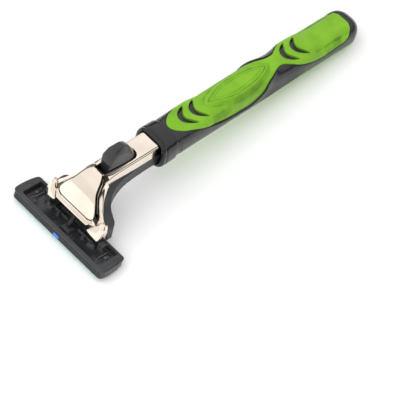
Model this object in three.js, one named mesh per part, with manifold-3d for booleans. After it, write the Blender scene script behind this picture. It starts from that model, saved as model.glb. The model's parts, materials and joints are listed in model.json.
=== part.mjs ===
// Pivoting twin-blade cartridge razor, as a three.js scene graph in millimetres, +Z up.
// Everything is drawn in the handle's own frame: x runs from the collar's front face (0)
// towards the tail, z points to the thumb side and y goes across. The whole razor is then
// leaned about Y, so that it lies on its guard bar and the underside of its tail.
import * as THREE from 'three';
import { mergeVertices } from 'three/addons/utils/BufferGeometryUtils.js';
import Module from 'manifold-3d';

const wasm = await Module();
wasm.setup();

// ---------------------------------------------------------------- driving dimensions
const GAP = 0.3;                    // clearance between neighbouring pieces
const BIG = 60;                     // size of a cutting tool that passes right through
const DEG = Math.PI / 180;

// Handle: [x, half width, top, bottom], with a rounded tail after the last station.
const HANDLE = [
  [8, 6.55, 5.55, -5.8], [20, 6.65, 6.05, -5.5], [36, 6.7, 6.35, -5.3], [50, 6.7, 6.35, -5.3],
  [59, 6.5, 6.0, -5.3], [67, 6.6, 6.4, -5.3], [76, 6.4, 5.95, -5.3], [92.5, 6.3, 5.95, -5.0],
];
const TAIL_START = 92.5;
const TAIL_END = 98;
const SQUARENESS = 2.8;             // exponent of the handle's rounded section
const SIDES = 28;
const HANDLE_FRONT = 8.6;
const HANDLE_RINGS = [20, 28, 36, 43, 50, 55, 59, 63, 67, 71, 76, 84, 92.5, 94.4, 96, 97.1, 97.75];
const SKIN = 1.5;                   // thickness of the rubber grips

// Collar: a sleeve over the joint of neck and handle.
const COLLAR_LENGTH = 8.3;
const COLLAR_RINGS = [[0, 6.6, 5.55, -6.0], [0.7, 7.0, 5.9, -6.4], [6.4, 7.0, 5.85, -6.35], [8.3, 6.7, 5.6, -5.9]];
const COLLAR_BORE = { half: 5.9, top: 5.15, bottom: -5.35, squareness: 3.6 };

// Thumb grip: half width in plan, and the lower edge on the sides, both against x.
const THUMB_PLAN = [
  [8.95, 0.01], [9.6, 2.2], [12.2, 4.4], [17, 6.2], [22, 8], [48, 8], [51.5, 6], [54, 4.4], [57, 2.9],
  [59, 2.7], [61.5, 3.8], [65, 5.7], [69, 8], [87, 8], [90.2, 5.4], [91.7, 3.2], [92.4, 0.01],
];
const THUMB_EDGE = [
  [8, 3.2], [17, 3.2], [22, 2.1], [29.4, 0.2], [36, -0.6], [43, -0.2], [47.5, 1.9], [50.5, 3.4],
  [66, 3.4], [71, 2.5], [78, 1.4], [83.5, 1.6], [88, 2.3], [93.5, 3.2],
];
const BACK_EDGE = [
  [9, -2.6], [40, -2.2], [52, -0.9], [62, -0.4], [87, -0.3], [92.2, -0.9], [95.4, -1.9], [99, -2.8],
];
// Crescent slots through the thumb grip: [x at the middle, x at the tips].
const SLOTS = [[14.0, 18.0], [19.2, 22.9], [62.9, 66.4], [67.8, 71.4]];
const SLOT = { halfSpan: 4.4, width: 1.7 };
const TAIL_BOSS = { x: 88.2, radius: 1.4 };

// Neck: chrome cover over a plastic base, both turned down into the yoke at the head.
const NECK_END = 1.8;
const COVER_TOP = [
  [2.6, 4.8], [-21.5, 4.8], [-23.4, 4.95], [-25.2, 4.6], [-27, 3.4], [-28.8, 1.2], [-30.3, -2],
  [-31.3, -5.4], [-31.7, -8.5], [-31.7, -11], [-31.65, -14], [-31.4, -16.4],
];
const COVER_SEAM = [
  [-27.5, -11], [-27, -8.5], [-26, -6], [-24.2, -3.3], [-21.5, -1.6], [-17, -0.8], [2.6, -0.8],
];
const COVER_INSIDE = [
  [4, 3.8], [-21.5, 3.8], [-23.2, 3.9], [-24.6, 3.6], [-26, 2.6], [-27.7, 0.6], [-29.1, -2.4],
  [-30.1, -5.6], [-30.5, -8.5], [-30.5, -14], [-18, -14], [-15, -4], [4, -4],
];
const EAR_BACK = -30.5;             // x of the back face of the ears
const COVER_PLAN = [
  [3, 4.15], [-19, 4.15], [-22, 4.6], [-24.5, 5.3], [-27, 7.8], [-28.5, 10.3], [-29.5, 12], [-30.5, 12.7],
  [-33, 12.7],
];
const COVER_FRONT = [
  [3.5, 5.2], [3.6, 4.8], [4.1, 4.3], [4.9, 3], [5.8, 1.6], [7.4, -1], [9.8, -4], [11.4, -5.6], [12.2, -7],
  [12.7, -9.5], [12.7, -12.4], [12.2, -14.6], [11.4, -16.8], [10.6, -17.4],
];
const EAR_INSIDE = [[9.9, -16.9], [8.8, -14.4], [7.6, -12.2], [6.8, -11]];
const COVER_WALL = 0.85;
const BASE_SIDE = [
  [NECK_END, -1.1], [-17, -1.1], [-21.6, -2.0], [-24, -3.7], [-25.7, -6.3], [-26.7, -8.7], [-27.2, -11.2],
  [-27.9, -15], [-23.6, -15], [-22.6, -12.4], [-21.4, -9.6], [-19.4, -6.8], [-16.5, -5.2], [-12, -4.6],
  [NECK_END, -4.7],
];
const BASE_PLAN = [
  [NECK_END, 3.9], [-6, 4.3], [-12, 4.7], [-17, 5.4], [-20, 6.6], [-22, 8.6], [-23.6, 11], [-24.8, 12.7],
  [-29, 12.7],
];
const BASE_FRONT = [
  [4.4, 0], [4.7, -3], [5.8, -5], [7.6, -6.5], [10.6, -8], [12.7, -9.2], [12.7, -16],
];
const BASE_POCKET = [
  [-29, -16], [-28, -9], [-25.2, -4.7], [-23.9, -6.2], [-23.3, -9.2], [-24.2, -12.5], [-25, -16],
];
const TONGUE = { front: 0, back: 16, half: 2.6, bottom: -2.7, top: 1.1 };

// Release button, its pusher plate and the bearing arms that the plate draws inwards.
const TRAVEL = 1.4;
const BUTTON_SIDE = [
  [-21.7, 4.1], [-21.7, 8.6], [-19.6, 12.4], [-16.5, 12.7], [-13, 11.2], [-10, 8.4], [-7.5, 5.2], [-7.5, 4.1],
];
const BUTTON_PLAN = { front: -21.7, frontHalf: 2.0, wide: -12, wideHalf: 2.9, back: -7.55 };
const COVER_SLOT = { front: -23.4, frontHalf: 2.35, wide: -12, wideHalf: 3.25, back: -7.15 };
const STEMS = [[-21, -19], [-10.5, -8.5]];
const STEM = { half: 1.6, bottom: 1.3 };
const PLATE = { front: -25.2, neck: -21.6, back: -7, headHalf: 3.45, half: 2.7, bottom: 0.2, top: 1 };
const WINDOW = { front: -18.2, back: -11.2, half: 1.3 };
const STOP = { front: -17.9, back: -17.1, half: 1, bottom: -1.6, top: 1 };
const PEG = { x: -23, y: 2.3, radius: 0.4, slotHalf: 0.55 };
const ARM_SIDE = [
  [-21.9, -0.1], [-26.4, -0.1], [-28.3, -4], [-29.4, -8], [-29.9, -10.5], [-29.9, -17.3], [-29.7, -17.65],
  [-29.25, -17.85], [-28.8, -17.65], [-28.6, -17.3], [-28.6, -10.3], [-28.1, -7.7], [-27, -4], [-25.6, -1], [-21.9, -1],
];
const ARM_FRONT = [
  [1.6, 0.1], [3.1, 0.1], [3.3, -1.2], [4.8, -2.5], [6.2, -4], [7.3, -6], [8.4, -8], [9.2, -10],
  [9.2, -11.4], [10.6, -11.9], [10.6, -18.2], [8.3, -18.2], [8.3, -10.6], [4.6, -10.6], [4.6, -4.2], [1.6, -1.2],
];
const PIVOT = { x: -29.25, z: -17.2, radius: 0.65, root: 10.3, tip: 13 };

// Spring plunger that turns the cartridge back: a slanted axis from the base to the tray.
const PLUNGER = { x: -26.2, z: -7.6, lean: Math.atan2(0.6, 0.8), back: 0.2, tip: 12, radius: 0.95, hollow: 0.65, hollowEnd: 6.2 };
// The springs are drawn at the length they have with the mechanism pressed.
const BUTTON_COIL = { x0: -16.6, x1: -13.1, z: 0.4, radius: 0.65, wire: 0.15, turns: 6 };
const PLUNGER_COIL = { t0: -4.5, t1: 3.4, radius: 0.38, wire: 0.11, turns: 12 };
const GUIDE = { half: 1.9, halfWidth: 2.1, back: 5.6, front: 3.2, bore: 1.25, boreBack: 5 };

// Cartridge, in its own frame: x to the handle side, z to the back, origin at its middle.
const CARTRIDGE = { x: -32.73, z: -17.83, tilt: 4.93 * DEG };
const TRAY_END = [
  [5.65, 20.5], [4.9, 21.0], [1.5, 21.35], [-2.5, 21.3], [-4.9, 20.7], [-5.5, 20.1], [-5.65, 19.4],
];
const TRAY = { back: 2.2, face: -2.05, recessX: 4.4, recessY: 18.4, floor: -0.4, ceiling: -0.95 };
const GUARD = { crest: 4.5, outer: 5.65, outerZ: -1.75, lean: 12.1 * DEG, half: 19.9 };
const BLADE_POCKET = { front: -5.25, back: 3.95, half: 19.55 };
const RINSE_SLOTS = { x0: 3.3, x1: 4.0, length: 4.4, centres: [-13.2, -6.2, 0, 6.2, 13.2] };
const JOURNAL = { inner: 11.7, outer: 13.9, front: 2.1, top: 2.35, bore: 0.8 };
const PAD = { front: -1.6, back: 1.2, half: 1.8, top: 0.1 };
const POSTS = { x: -2.2, centres: [-14.6, -3.3, 3.3, 14.6], radius: 0.5, hole: 0.7, head: 0.95, headTop: 0.35 };
// Stack between tray and cap: [name, x of the back edge, x of the cutting edge, bottom z, top z].
const STACK = [
  ['first_blade', -3.3, 3.25, -1.2, -1.05],
  ['blade_spacer', -3.3, 1.9, -1.55, -1.3],
  ['second_blade', -3.3, 2.4, -1.8, -1.65],
];
const STACK_HALF = 19.2;
const CAP = { front: -5.15, step: -3.5, deep: -1.05, under: -1.9, top: -2.4, bed: -2.05, half: 19.35 };
const SCALLOP = { pitch: 6.6, mean: -1.8, depth: 0.45, steps: 48 };
const STRIP = { front: -5.1, back: -2.55, bottom: -2.5, top: -2.15, half: 19.25 };
const MARK = { z: -0.45, halfY: 1.3, halfZ: 0.5, depth: 0.5 };

// ---------------------------------------------------------------- materials
function plastic(colour, roughness) {
  return new THREE.MeshStandardMaterial({ color: colour, roughness, metalness: 0 });
}

function metal(colour, roughness) {
  return new THREE.MeshStandardMaterial({ color: colour, roughness, metalness: 1 });
}

const MATERIALS = {
  core: plastic(0x202224, 0.35),
  collar: plastic(0x2b2c2e, 0.3),
  grip: plastic(0x86c42a, 0.6),
  base: plastic(0x4a4b4d, 0.5),
  cartridge: plastic(0x3c3d3f, 0.5),
  button: plastic(0x2f3032, 0.45),
  chrome: metal(0xe8dccc, 0.15),
  arm: plastic(0x333436, 0.5),
  spring: metal(0xb0b2b5, 0.3),
  blade: metal(0xcfcac6, 0.25),
  strip: plastic(0x45bdb5, 0.4),
  mark: plastic(0x3c82f0, 0.4),
};

// ---------------------------------------------------------------- solids
function solid(geometry) {
  const bare = geometry.clone();
  bare.deleteAttribute('normal');
  bare.deleteAttribute('uv');
  const merged = mergeVertices(bare, 1e-4);
  return new wasm.Manifold(new wasm.Mesh({
    numProp: 3,
    vertProperties: new Float32Array(merged.attributes.position.array),
    triVerts: new Uint32Array(merged.index.array),
  }));
}

function union(first, ...rest) {
  return rest.reduce((sum, item) => sum.add(item), first);
}

function outline(points) {
  return new THREE.Shape(points.map(([a, b]) => new THREE.Vector2(a, b)));
}

function extruded(shape, depth) {
  return new THREE.ExtrudeGeometry(shape, { depth, bevelEnabled: false, steps: 1, curveSegments: 6 });
}

// A plan outline of [x, y], raised from z0 to z1.
function plate(shape, z0, z1) {
  return solid(extruded(shape, z1 - z0).translate(0, 0, z0));
}

// A side outline of [x, z], from y0 to y1.
function sideSlab(points, y0, y1) {
  return solid(extruded(outline(points), y1 - y0).rotateX(Math.PI / 2).translate(0, y1, 0));
}

// A front outline of [y, z], right through the part along x.
function frontSlab(points) {
  const yzx = new THREE.Matrix4().makeBasis(
    new THREE.Vector3(0, 1, 0), new THREE.Vector3(0, 0, 1), new THREE.Vector3(1, 0, 0));
  return solid(extruded(outline(points), 2 * BIG).applyMatrix4(yzx).translate(-BIG, 0, 0));
}

// Half outlines, [station, half width], closed by their mirror image.
function mirrored(halves) {
  return [...halves, ...halves.map(([s, half]) => [s, -half]).reverse()];
}

function box(x0, x1, y0, y1, z0, z1) {
  const geometry = new THREE.BoxGeometry(x1 - x0, y1 - y0, z1 - z0);
  return solid(geometry.translate((x0 + x1) / 2, (y0 + y1) / 2, (z0 + z1) / 2));
}

function upright(x, y, radius, z0, z1, sides = 16) {
  const geometry = new THREE.CylinderGeometry(radius, radius, z1 - z0, sides);
  return solid(geometry.rotateX(Math.PI / 2).translate(x, y, (z0 + z1) / 2));
}

function crossPin(x, z, radius, y0, y1, sides = 16) {
  const geometry = new THREE.CylinderGeometry(radius, radius, y1 - y0, sides);
  return solid(geometry.translate(x, (y0 + y1) / 2, z));
}

function stationAt(table, x) {
  const last = table.length - 1;
  if (x <= table[0][0]) return table[0].slice(1);
  if (x >= table[last][0]) return table[last].slice(1);
  const i = table.findIndex((row) => row[0] > x);
  const t = (x - table[i - 1][0]) / (table[i][0] - table[i - 1][0]);
  return table[i].slice(1).map((value, k) => THREE.MathUtils.lerp(table[i - 1][k + 1], value, t));
}

// A closed bar along x: rings of rounded sections, each { half, top, bottom }.
function roundedBar(rings, sectionAt, squareness = SQUARENESS) {
  const geometry = new THREE.CylinderGeometry(1, 1, 1, SIDES, rings.length - 1);
  const position = geometry.attributes.position;
  const squared = (value) => Math.sign(value) * Math.abs(value) ** (2 / squareness);
  for (let i = 0; i < position.count; i += 1) {
    const x = rings[Math.round((position.getY(i) + 0.5) * (rings.length - 1))];
    const { half, top, bottom } = sectionAt(x);
    const y = half * squared(position.getZ(i));
    const z = (top + bottom) / 2 + ((top - bottom) / 2) * squared(position.getX(i));
    position.setXYZ(i, x, y, z);
  }
  return solid(geometry);
}

function handleBar(inset, front) {
  const end = TAIL_END - inset;
  const rings = [front, ...HANDLE_RINGS.map((x) => (x > TAIL_START
    ? TAIL_START + (x - TAIL_START) * (end - TAIL_START) / (TAIL_END - TAIL_START) : x))];
  return roundedBar(rings, (x) => {
    const [half, top, bottom] = stationAt(HANDLE, x);
    const along = Math.max(0, (x - TAIL_START) / (end - TAIL_START));
    const round = Math.sqrt(1 - along ** 2);
    const middle = (top + bottom) / 2;
    const rise = ((top - bottom) / 2 - inset) * round;
    return { half: (half - inset) * round, top: middle + rise, bottom: middle - rise };
  });
}

// ---------------------------------------------------------------- scene graph
const razor = new THREE.Group();
const cartridge = new THREE.Group();
cartridge.position.set(CARTRIDGE.x, 0, CARTRIDGE.z);
cartridge.rotation.y = CARTRIDGE.tilt;
razor.add(cartridge);

function piece(name, manifold, material, parent = razor) {
  const { vertProperties, triVerts } = manifold.getMesh();
  const geometry = new THREE.BufferGeometry();
  geometry.setAttribute('position', new THREE.BufferAttribute(vertProperties, 3));
  geometry.setIndex(new THREE.BufferAttribute(triVerts, 1));
  geometry.computeVertexNormals();
  const mesh = new THREE.Mesh(geometry, material);
  mesh.name = name;
  parent.add(mesh);
}

// ---------------------------------------------------------------- handle
function thumbRegion(grow) {
  const last = THUMB_PLAN.length - 1;
  const plan = THUMB_PLAN.map(([x, half], i) => [x + (i === 0 ? -grow : 0) + (i === last ? grow : 0), half + grow]);
  const edge = THUMB_EDGE.map(([x, z]) => [x, z - grow]);
  const region = plate(outline(mirrored(plan)), -BIG, BIG);
  return region.intersect(sideSlab([...edge, [93.5, BIG], [8, BIG]], -BIG, BIG));
}

function backRegion(grow) {
  const edge = BACK_EDGE.map(([x, z], i) => [i === 0 ? x - grow : x, z + grow]);
  return sideSlab([...edge, [99, -BIG], [BACK_EDGE[0][0] - grow, -BIG]], -BIG, BIG);
}

function crescent([middle, tips]) {
  const shape = new THREE.Shape();
  shape.moveTo(tips, -SLOT.halfSpan);
  shape.quadraticCurveTo(2 * middle - tips - SLOT.width / 2, 0, tips, SLOT.halfSpan);
  shape.quadraticCurveTo(2 * middle - tips + 1.5 * SLOT.width, 0, tips, -SLOT.halfSpan);
  return plate(shape, 2, BIG);
}

function buildHandle() {
  const outer = handleBar(0, HANDLE_FRONT);
  const skin = outer.subtract(handleBar(SKIN, HANDLE_FRONT - 1));
  const inner = handleBar(SKIN + GAP, HANDLE_FRONT - 1);
  const boss = (radius) => upright(TAIL_BOSS.x, 0, radius, -BIG, -2.5);

  const thumb = SLOTS.reduce((grip, slot) => grip.subtract(crescent(slot)), skin.intersect(thumbRegion(0)));
  const back = skin.intersect(backRegion(0)).subtract(boss(TAIL_BOSS.radius + GAP));

  const spigot = roundedBar([3.4, HANDLE_FRONT + 0.1], () => ({
    half: COLLAR_BORE.half - GAP, top: COLLAR_BORE.top - GAP, bottom: COLLAR_BORE.bottom + GAP,
  }), COLLAR_BORE.squareness);
  const socket = box(3, TONGUE.back + GAP, -TONGUE.half - GAP, TONGUE.half + GAP,
    TONGUE.bottom - GAP, TONGUE.top + GAP);
  const core = outer
    .subtract(thumbRegion(GAP).subtract(inner))
    .subtract(backRegion(GAP).subtract(inner))
    .add(boss(TAIL_BOSS.radius).intersect(outer))
    .add(spigot)
    .subtract(socket);

  const sleeve = roundedBar(COLLAR_RINGS.map((ring) => ring[0]), (x) => {
    const [half, top, bottom] = stationAt(COLLAR_RINGS, x);
    return { half, top, bottom };
  });
  const collar = sleeve.subtract(roundedBar(
    [-1, COLLAR_LENGTH + 1], () => COLLAR_BORE, COLLAR_BORE.squareness));

  piece('handle_core', core, MATERIALS.core);
  piece('collar', collar, MATERIALS.collar);
  piece('thumb_grip', thumb, MATERIALS.grip);
  piece('back_grip', back, MATERIALS.grip);
}

// ---------------------------------------------------------------- neck and yoke
// Front outlines are drawn as one closed loop of [y, z], from one ear across to the other.
function coverFront(inset) {
  const side = COVER_FRONT.map(([y, z]) => [y - inset, z]);
  const inside = EAR_INSIDE.map(([y, z]) => [y - inset, z]);
  const half = [...side, ...inside];
  return frontSlab([...half, ...half.map(([y, z]) => [-y, z]).reverse()]);
}

function wedgePlan({ front, frontHalf, wide, wideHalf, back }) {
  const shape = new THREE.Shape();
  shape.moveTo(front, frontHalf);
  shape.lineTo(front, -frontHalf);
  shape.lineTo(wide, -wideHalf);
  shape.bezierCurveTo(back - 0.6, -wideHalf, back, -wideHalf * 0.6, back, 0);
  shape.bezierCurveTo(back, wideHalf * 0.6, back - 0.6, wideHalf, wide, wideHalf);
  shape.closePath();
  return shape;
}

// A solid of revolution on the plunger's axis; t runs from its back end to its tip.
function onPlungerAxis(profile, sides) {
  const points = profile.map(([radius, t]) => new THREE.Vector2(radius, t));
  const geometry = new THREE.LatheGeometry(points, sides);
  geometry.rotateX(-Math.PI / 2);
  geometry.rotateY(PLUNGER.lean);
  return solid(geometry.translate(PLUNGER.x, 0, PLUNGER.z));
}

function rod(radius, t0, t1, sides = 16) {
  return onPlungerAxis([[0, t0], [radius, t0], [radius, t1], [0, t1]], sides);
}

function coil(start, direction, length, radius, wire, turns) {
  const side = new THREE.Vector3(0, 1, 0);
  const normal = new THREE.Vector3().crossVectors(direction, side);
  const points = [];
  const steps = turns * 9;
  for (let i = 0; i <= steps; i += 1) {
    const angle = (2 * Math.PI * turns * i) / steps;
    points.push(start.clone()
      .addScaledVector(direction, (length * i) / steps)
      .addScaledVector(side, radius * Math.cos(angle))
      .addScaledVector(normal, radius * Math.sin(angle)));
  }
  const path = new THREE.CatmullRomCurve3(points);
  const section = new THREE.Shape().absarc(0, 0, wire, 0, 2 * Math.PI);
  return new THREE.ExtrudeGeometry(section, { steps, curveSegments: 5, bevelEnabled: false, extrudePath: path });
}

function buildNeck() {
  const coverSide = [...COVER_TOP, [EAR_BACK, -17.3], [EAR_BACK, -11], ...COVER_SEAM];
  const shell = sideSlab(coverSide, -BIG, BIG)
    .intersect(plate(outline(mirrored(COVER_PLAN)), -BIG, BIG))
    .intersect(coverFront(0));
  const hollow = sideSlab(COVER_INSIDE, -BIG, BIG)
    .intersect(plate(outline(mirrored(COVER_PLAN.map(([x, half]) => [x === 3 ? 4 : x, half - COVER_WALL]))), -BIG, BIG))
    .intersect(frontSlab(mirroredZ(COVER_FRONT.map(([y, z]) => [y - COVER_WALL, z]))));
  const cover = shell.subtract(hollow).subtract(plate(wedgePlan(COVER_SLOT), 3, 6));
  piece('neck_cover', cover, MATERIALS.chrome);

  const body = sideSlab(BASE_SIDE, -BIG, BIG)
    .intersect(plate(outline(mirrored(BASE_PLAN)), -BIG, BIG))
    .intersect(frontSlab(mirroredZ(BASE_FRONT)));
  const pocket = sideSlab(BASE_POCKET, -11.4, 11.4);
  const tongue = box(TONGUE.front, TONGUE.back, -TONGUE.half, TONGUE.half, TONGUE.bottom, TONGUE.top);
  const guide = union(
    onGuide(GUIDE.half, -GUIDE.back, GUIDE.front, GUIDE.halfWidth),
  );
  const stop = box(STOP.front, STOP.back, -STOP.half, STOP.half, STOP.bottom, STOP.top);
  const base = union(body.subtract(pocket), tongue, guide, stop)
    .subtract(rod(GUIDE.bore, -GUIDE.boreBack, GUIDE.front + 6));
  piece('neck_base', base, MATERIALS.base);
}

function mirroredZ(halves) {
  return [...halves, ...halves.map(([y, z]) => [-y, z]).reverse()];
}

// A square bar on the plunger's axis.
function onGuide(half, t0, t1, halfWidth) {
  const geometry = new THREE.BoxGeometry(2 * half, 2 * halfWidth, t1 - t0);
  geometry.translate(0, 0, -(t0 + t1) / 2);
  geometry.rotateY(PLUNGER.lean);
  return solid(geometry.translate(PLUNGER.x, 0, PLUNGER.z));
}

// ---------------------------------------------------------------- release mechanism
function buildRelease() {
  const body = sideSlab(BUTTON_SIDE, -BIG, BIG).intersect(plate(wedgePlan(BUTTON_PLAN), -BIG, BIG));
  const stems = STEMS.map(([x0, x1]) => box(x0, x1, -STEM.half, STEM.half, STEM.bottom, 5));
  piece('release_button', union(body, ...stems), MATERIALS.button);

  const blank = plate(outline(mirrored([
    [PLATE.front, PLATE.headHalf], [PLATE.neck, PLATE.headHalf], [PLATE.neck + 0.8, PLATE.half], [PLATE.back, PLATE.half],
  ])), PLATE.bottom, PLATE.top);
  const window = box(WINDOW.front, WINDOW.back, -WINDOW.half, WINDOW.half, 0, 2);
  const slots = [-1, 1].map((side) => {
    const ends = [[PEG.x, side * PEG.y], [PEG.x + TRAVEL, side * (PEG.y - TRAVEL)]];
    const across = PEG.slotHalf * Math.SQRT1_2;
    const sweep = new THREE.Shape([
      new THREE.Vector2(ends[0][0] - across, ends[0][1] - side * across),
      new THREE.Vector2(ends[0][0] + across, ends[0][1] + side * across),
      new THREE.Vector2(ends[1][0] + across, ends[1][1] + side * across),
      new THREE.Vector2(ends[1][0] - across, ends[1][1] - side * across),
    ]);
    return union(plate(sweep, 0, 2), ...ends.map(([x, y]) => upright(x, y, PEG.slotHalf, 0, 2)));
  });
  piece('pusher_plate', blank.subtract(window).subtract(slots[0]).subtract(slots[1]), MATERIALS.arm);

  const { x0, x1, z, radius, wire, turns } = BUTTON_COIL;
  const spring = coil(new THREE.Vector3(x0, 0, z), new THREE.Vector3(1, 0, 0), x1 - x0, radius, wire, turns);
  piece('button_spring', solid(spring), MATERIALS.spring);

  [['left', -1], ['right', 1]].forEach(([name, side]) => {
    const front = ARM_FRONT.map(([y, z]) => [side * y, z]);
    const strip = sideSlab(ARM_SIDE, -BIG, BIG).intersect(frontSlab(front));
    const peg = upright(PEG.x, side * PEG.y, PEG.radius, -0.5, PLATE.top);
    const [y0, y1] = side > 0 ? [PIVOT.root, PIVOT.tip] : [-PIVOT.tip, -PIVOT.root];
    const pin = crossPin(PIVOT.x, PIVOT.z, PIVOT.radius, y0, y1);
    piece(`${name}_bearing_arm`, union(strip, peg, pin), MATERIALS.arm);
  });
}

function buildPlunger() {
  const { back, tip, radius, hollow, hollowEnd } = PLUNGER;
  const nose = [0, 22.5, 45, 67.5].map((angle) => [
    radius * Math.cos(angle * DEG), tip - radius + radius * Math.sin(angle * DEG)]);
  const shaft = [[0, hollowEnd], [hollow, hollowEnd], [hollow, back], [radius, back], ...nose, [0, tip]];
  piece('plunger', onPlungerAxis(shaft, 16), MATERIALS.arm);

  const { t0, t1, wire, turns } = PLUNGER_COIL;
  const axis = new THREE.Vector3(-Math.sin(PLUNGER.lean), 0, -Math.cos(PLUNGER.lean));
  const start = new THREE.Vector3(PLUNGER.x, 0, PLUNGER.z).addScaledVector(axis, t0);
  piece('plunger_spring', solid(coil(start, axis, t1 - t0, PLUNGER_COIL.radius, wire, turns)), MATERIALS.spring);
}

// ---------------------------------------------------------------- cartridge
function trayPlan() {
  const end = TRAY_END;
  return outline([...end, ...end.map(([x, y]) => [x, -y]).reverse()]);
}

function posts(radius, z0, z1) {
  return union(...POSTS.centres.map((y) => upright(POSTS.x, y, radius, z0, z1, 12)));
}

function buildTray() {
  const { recessX, recessY, floor, ceiling, back, face } = TRAY;
  const blank = plate(trayPlan(), face, back);
  const recess = box(-recessX, recessX, -recessY, recessY, floor, BIG);
  const bladePocket = box(BLADE_POCKET.front, BLADE_POCKET.back, -BLADE_POCKET.half, BLADE_POCKET.half, -BIG, ceiling);
  const crestZ = GUARD.outerZ - (GUARD.outer - GUARD.crest) * Math.tan(GUARD.lean);
  const underGuard = sideSlab([
    [BLADE_POCKET.back - 1, face - 1], [BLADE_POCKET.back - 1, -1.3], [BLADE_POCKET.back, -1.3],
    [GUARD.crest - 0.3, crestZ + 0.05], [GUARD.crest, crestZ], [GUARD.outer + 1, GUARD.outerZ + Math.tan(GUARD.lean)],
    [GUARD.outer + 1, face - 1],
  ], -BIG, BIG);
  const rinse = RINSE_SLOTS.centres.map((y) => box(
    RINSE_SLOTS.x0, RINSE_SLOTS.x1, y - RINSE_SLOTS.length / 2, y + RINSE_SLOTS.length / 2, -BIG, BIG));
  const journals = [-1, 1].map((side) => {
    const [y0, y1] = side > 0 ? [JOURNAL.inner, JOURNAL.outer] : [-JOURNAL.outer, -JOURNAL.inner];
    return box(JOURNAL.front, recessX + 0.4, y0, y1, floor - 0.2, JOURNAL.top);
  });
  const pad = box(PAD.front, PAD.back, -PAD.half, PAD.half, floor - 0.2, PAD.top);
  const pivot = pivotInCartridge();
  const bore = crossPin(pivot.x, pivot.z, JOURNAL.bore, -recessY + 1, recessY - 1);
  const markPocket = box(-GUARD.outer - 1, -GUARD.outer + MARK.depth, -MARK.halfY, MARK.halfY,
    MARK.z - MARK.halfZ, MARK.z + MARK.halfZ);
  let tray = blank.subtract(recess).subtract(bladePocket).subtract(underGuard);
  tray = union(tray, ...journals, pad);
  tray = rinse.reduce((rest, slot) => rest.subtract(slot), tray);
  tray = tray.subtract(bore).subtract(posts(POSTS.hole, -BIG, BIG)).subtract(markPocket);
  piece('cartridge_tray', tray, MATERIALS.cartridge, cartridge);

  const mark = box(-GUARD.outer, -GUARD.outer + MARK.depth - 0.15, -MARK.halfY + 0.15, MARK.halfY - 0.15,
    MARK.z - MARK.halfZ + 0.15, MARK.z + MARK.halfZ - 0.15);
  piece('index_mark', mark, MATERIALS.mark, cartridge);
}

function pivotInCartridge() {
  const dx = PIVOT.x - CARTRIDGE.x;
  const dz = PIVOT.z - CARTRIDGE.z;
  const cos = Math.cos(CARTRIDGE.tilt);
  const sin = Math.sin(CARTRIDGE.tilt);
  return { x: dx * cos - dz * sin, z: dx * sin + dz * cos };
}

function buildBlades() {
  STACK.forEach(([name, back, edge, z0, z1]) => {
    const sheet = box(back, edge, -STACK_HALF, STACK_HALF, z0, z1);
    const material = name === 'blade_spacer' ? MATERIALS.spring : MATERIALS.blade;
    piece(name, sheet.subtract(posts(POSTS.hole, -BIG, BIG)), material, cartridge);
  });

  const edge = [];
  for (let i = 0; i <= SCALLOP.steps; i += 1) {
    const y = CAP.half * ((2 * i) / SCALLOP.steps - 1);
    edge.push([SCALLOP.mean - SCALLOP.depth * Math.cos((2 * Math.PI * y) / SCALLOP.pitch), y]);
  }
  const plan = outline([[CAP.front, CAP.half], [CAP.front, -CAP.half], ...edge]);
  const profile = sideSlab([
    [CAP.front, CAP.deep], [CAP.step, CAP.deep], [CAP.step, CAP.under], [0, CAP.under], [0, CAP.top],
    [STRIP.back + 0.15, CAP.top], [STRIP.back + 0.15, CAP.bed], [CAP.front, CAP.bed],
  ], -BIG, BIG);
  const heads = posts(POSTS.head, TRAY.floor + 0.1, POSTS.headTop);
  const cap = union(plate(plan, -BIG, BIG).intersect(profile),
    posts(POSTS.radius, CAP.under - 0.2, POSTS.headTop - 0.1), heads);
  piece('cartridge_cap', cap, MATERIALS.cartridge, cartridge);

  const strip = box(STRIP.front, STRIP.back, -STRIP.half, STRIP.half, STRIP.bottom, STRIP.top);
  piece('lubricating_strip', strip, MATERIALS.strip, cartridge);
}

buildHandle();
buildNeck();
buildRelease();
buildPlunger();
buildTray();
buildBlades();

// ---------------------------------------------------------------- resting pose
// The guard bar's crest is flat on the table: the lean of the whole razor makes up the
// difference between the crest's angle and the cartridge's own tilt.
const part = new THREE.Group();
part.add(razor);
razor.rotation.y = GUARD.lean - CARTRIDGE.tilt;
const bounds = new THREE.Box3().setFromObject(part, true);
const middle = bounds.getCenter(new THREE.Vector3());
razor.position.set(-middle.x, -middle.y, -bounds.min.z);
part.updateMatrixWorld(true);

export default part;
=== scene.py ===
"""Cartridge razor: the detailed visual model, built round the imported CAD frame."""
import json
import math

import bmesh
import bpy
import numpy as np
from mathutils.kdtree import KDTree
from mathutils import Matrix, Vector


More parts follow.
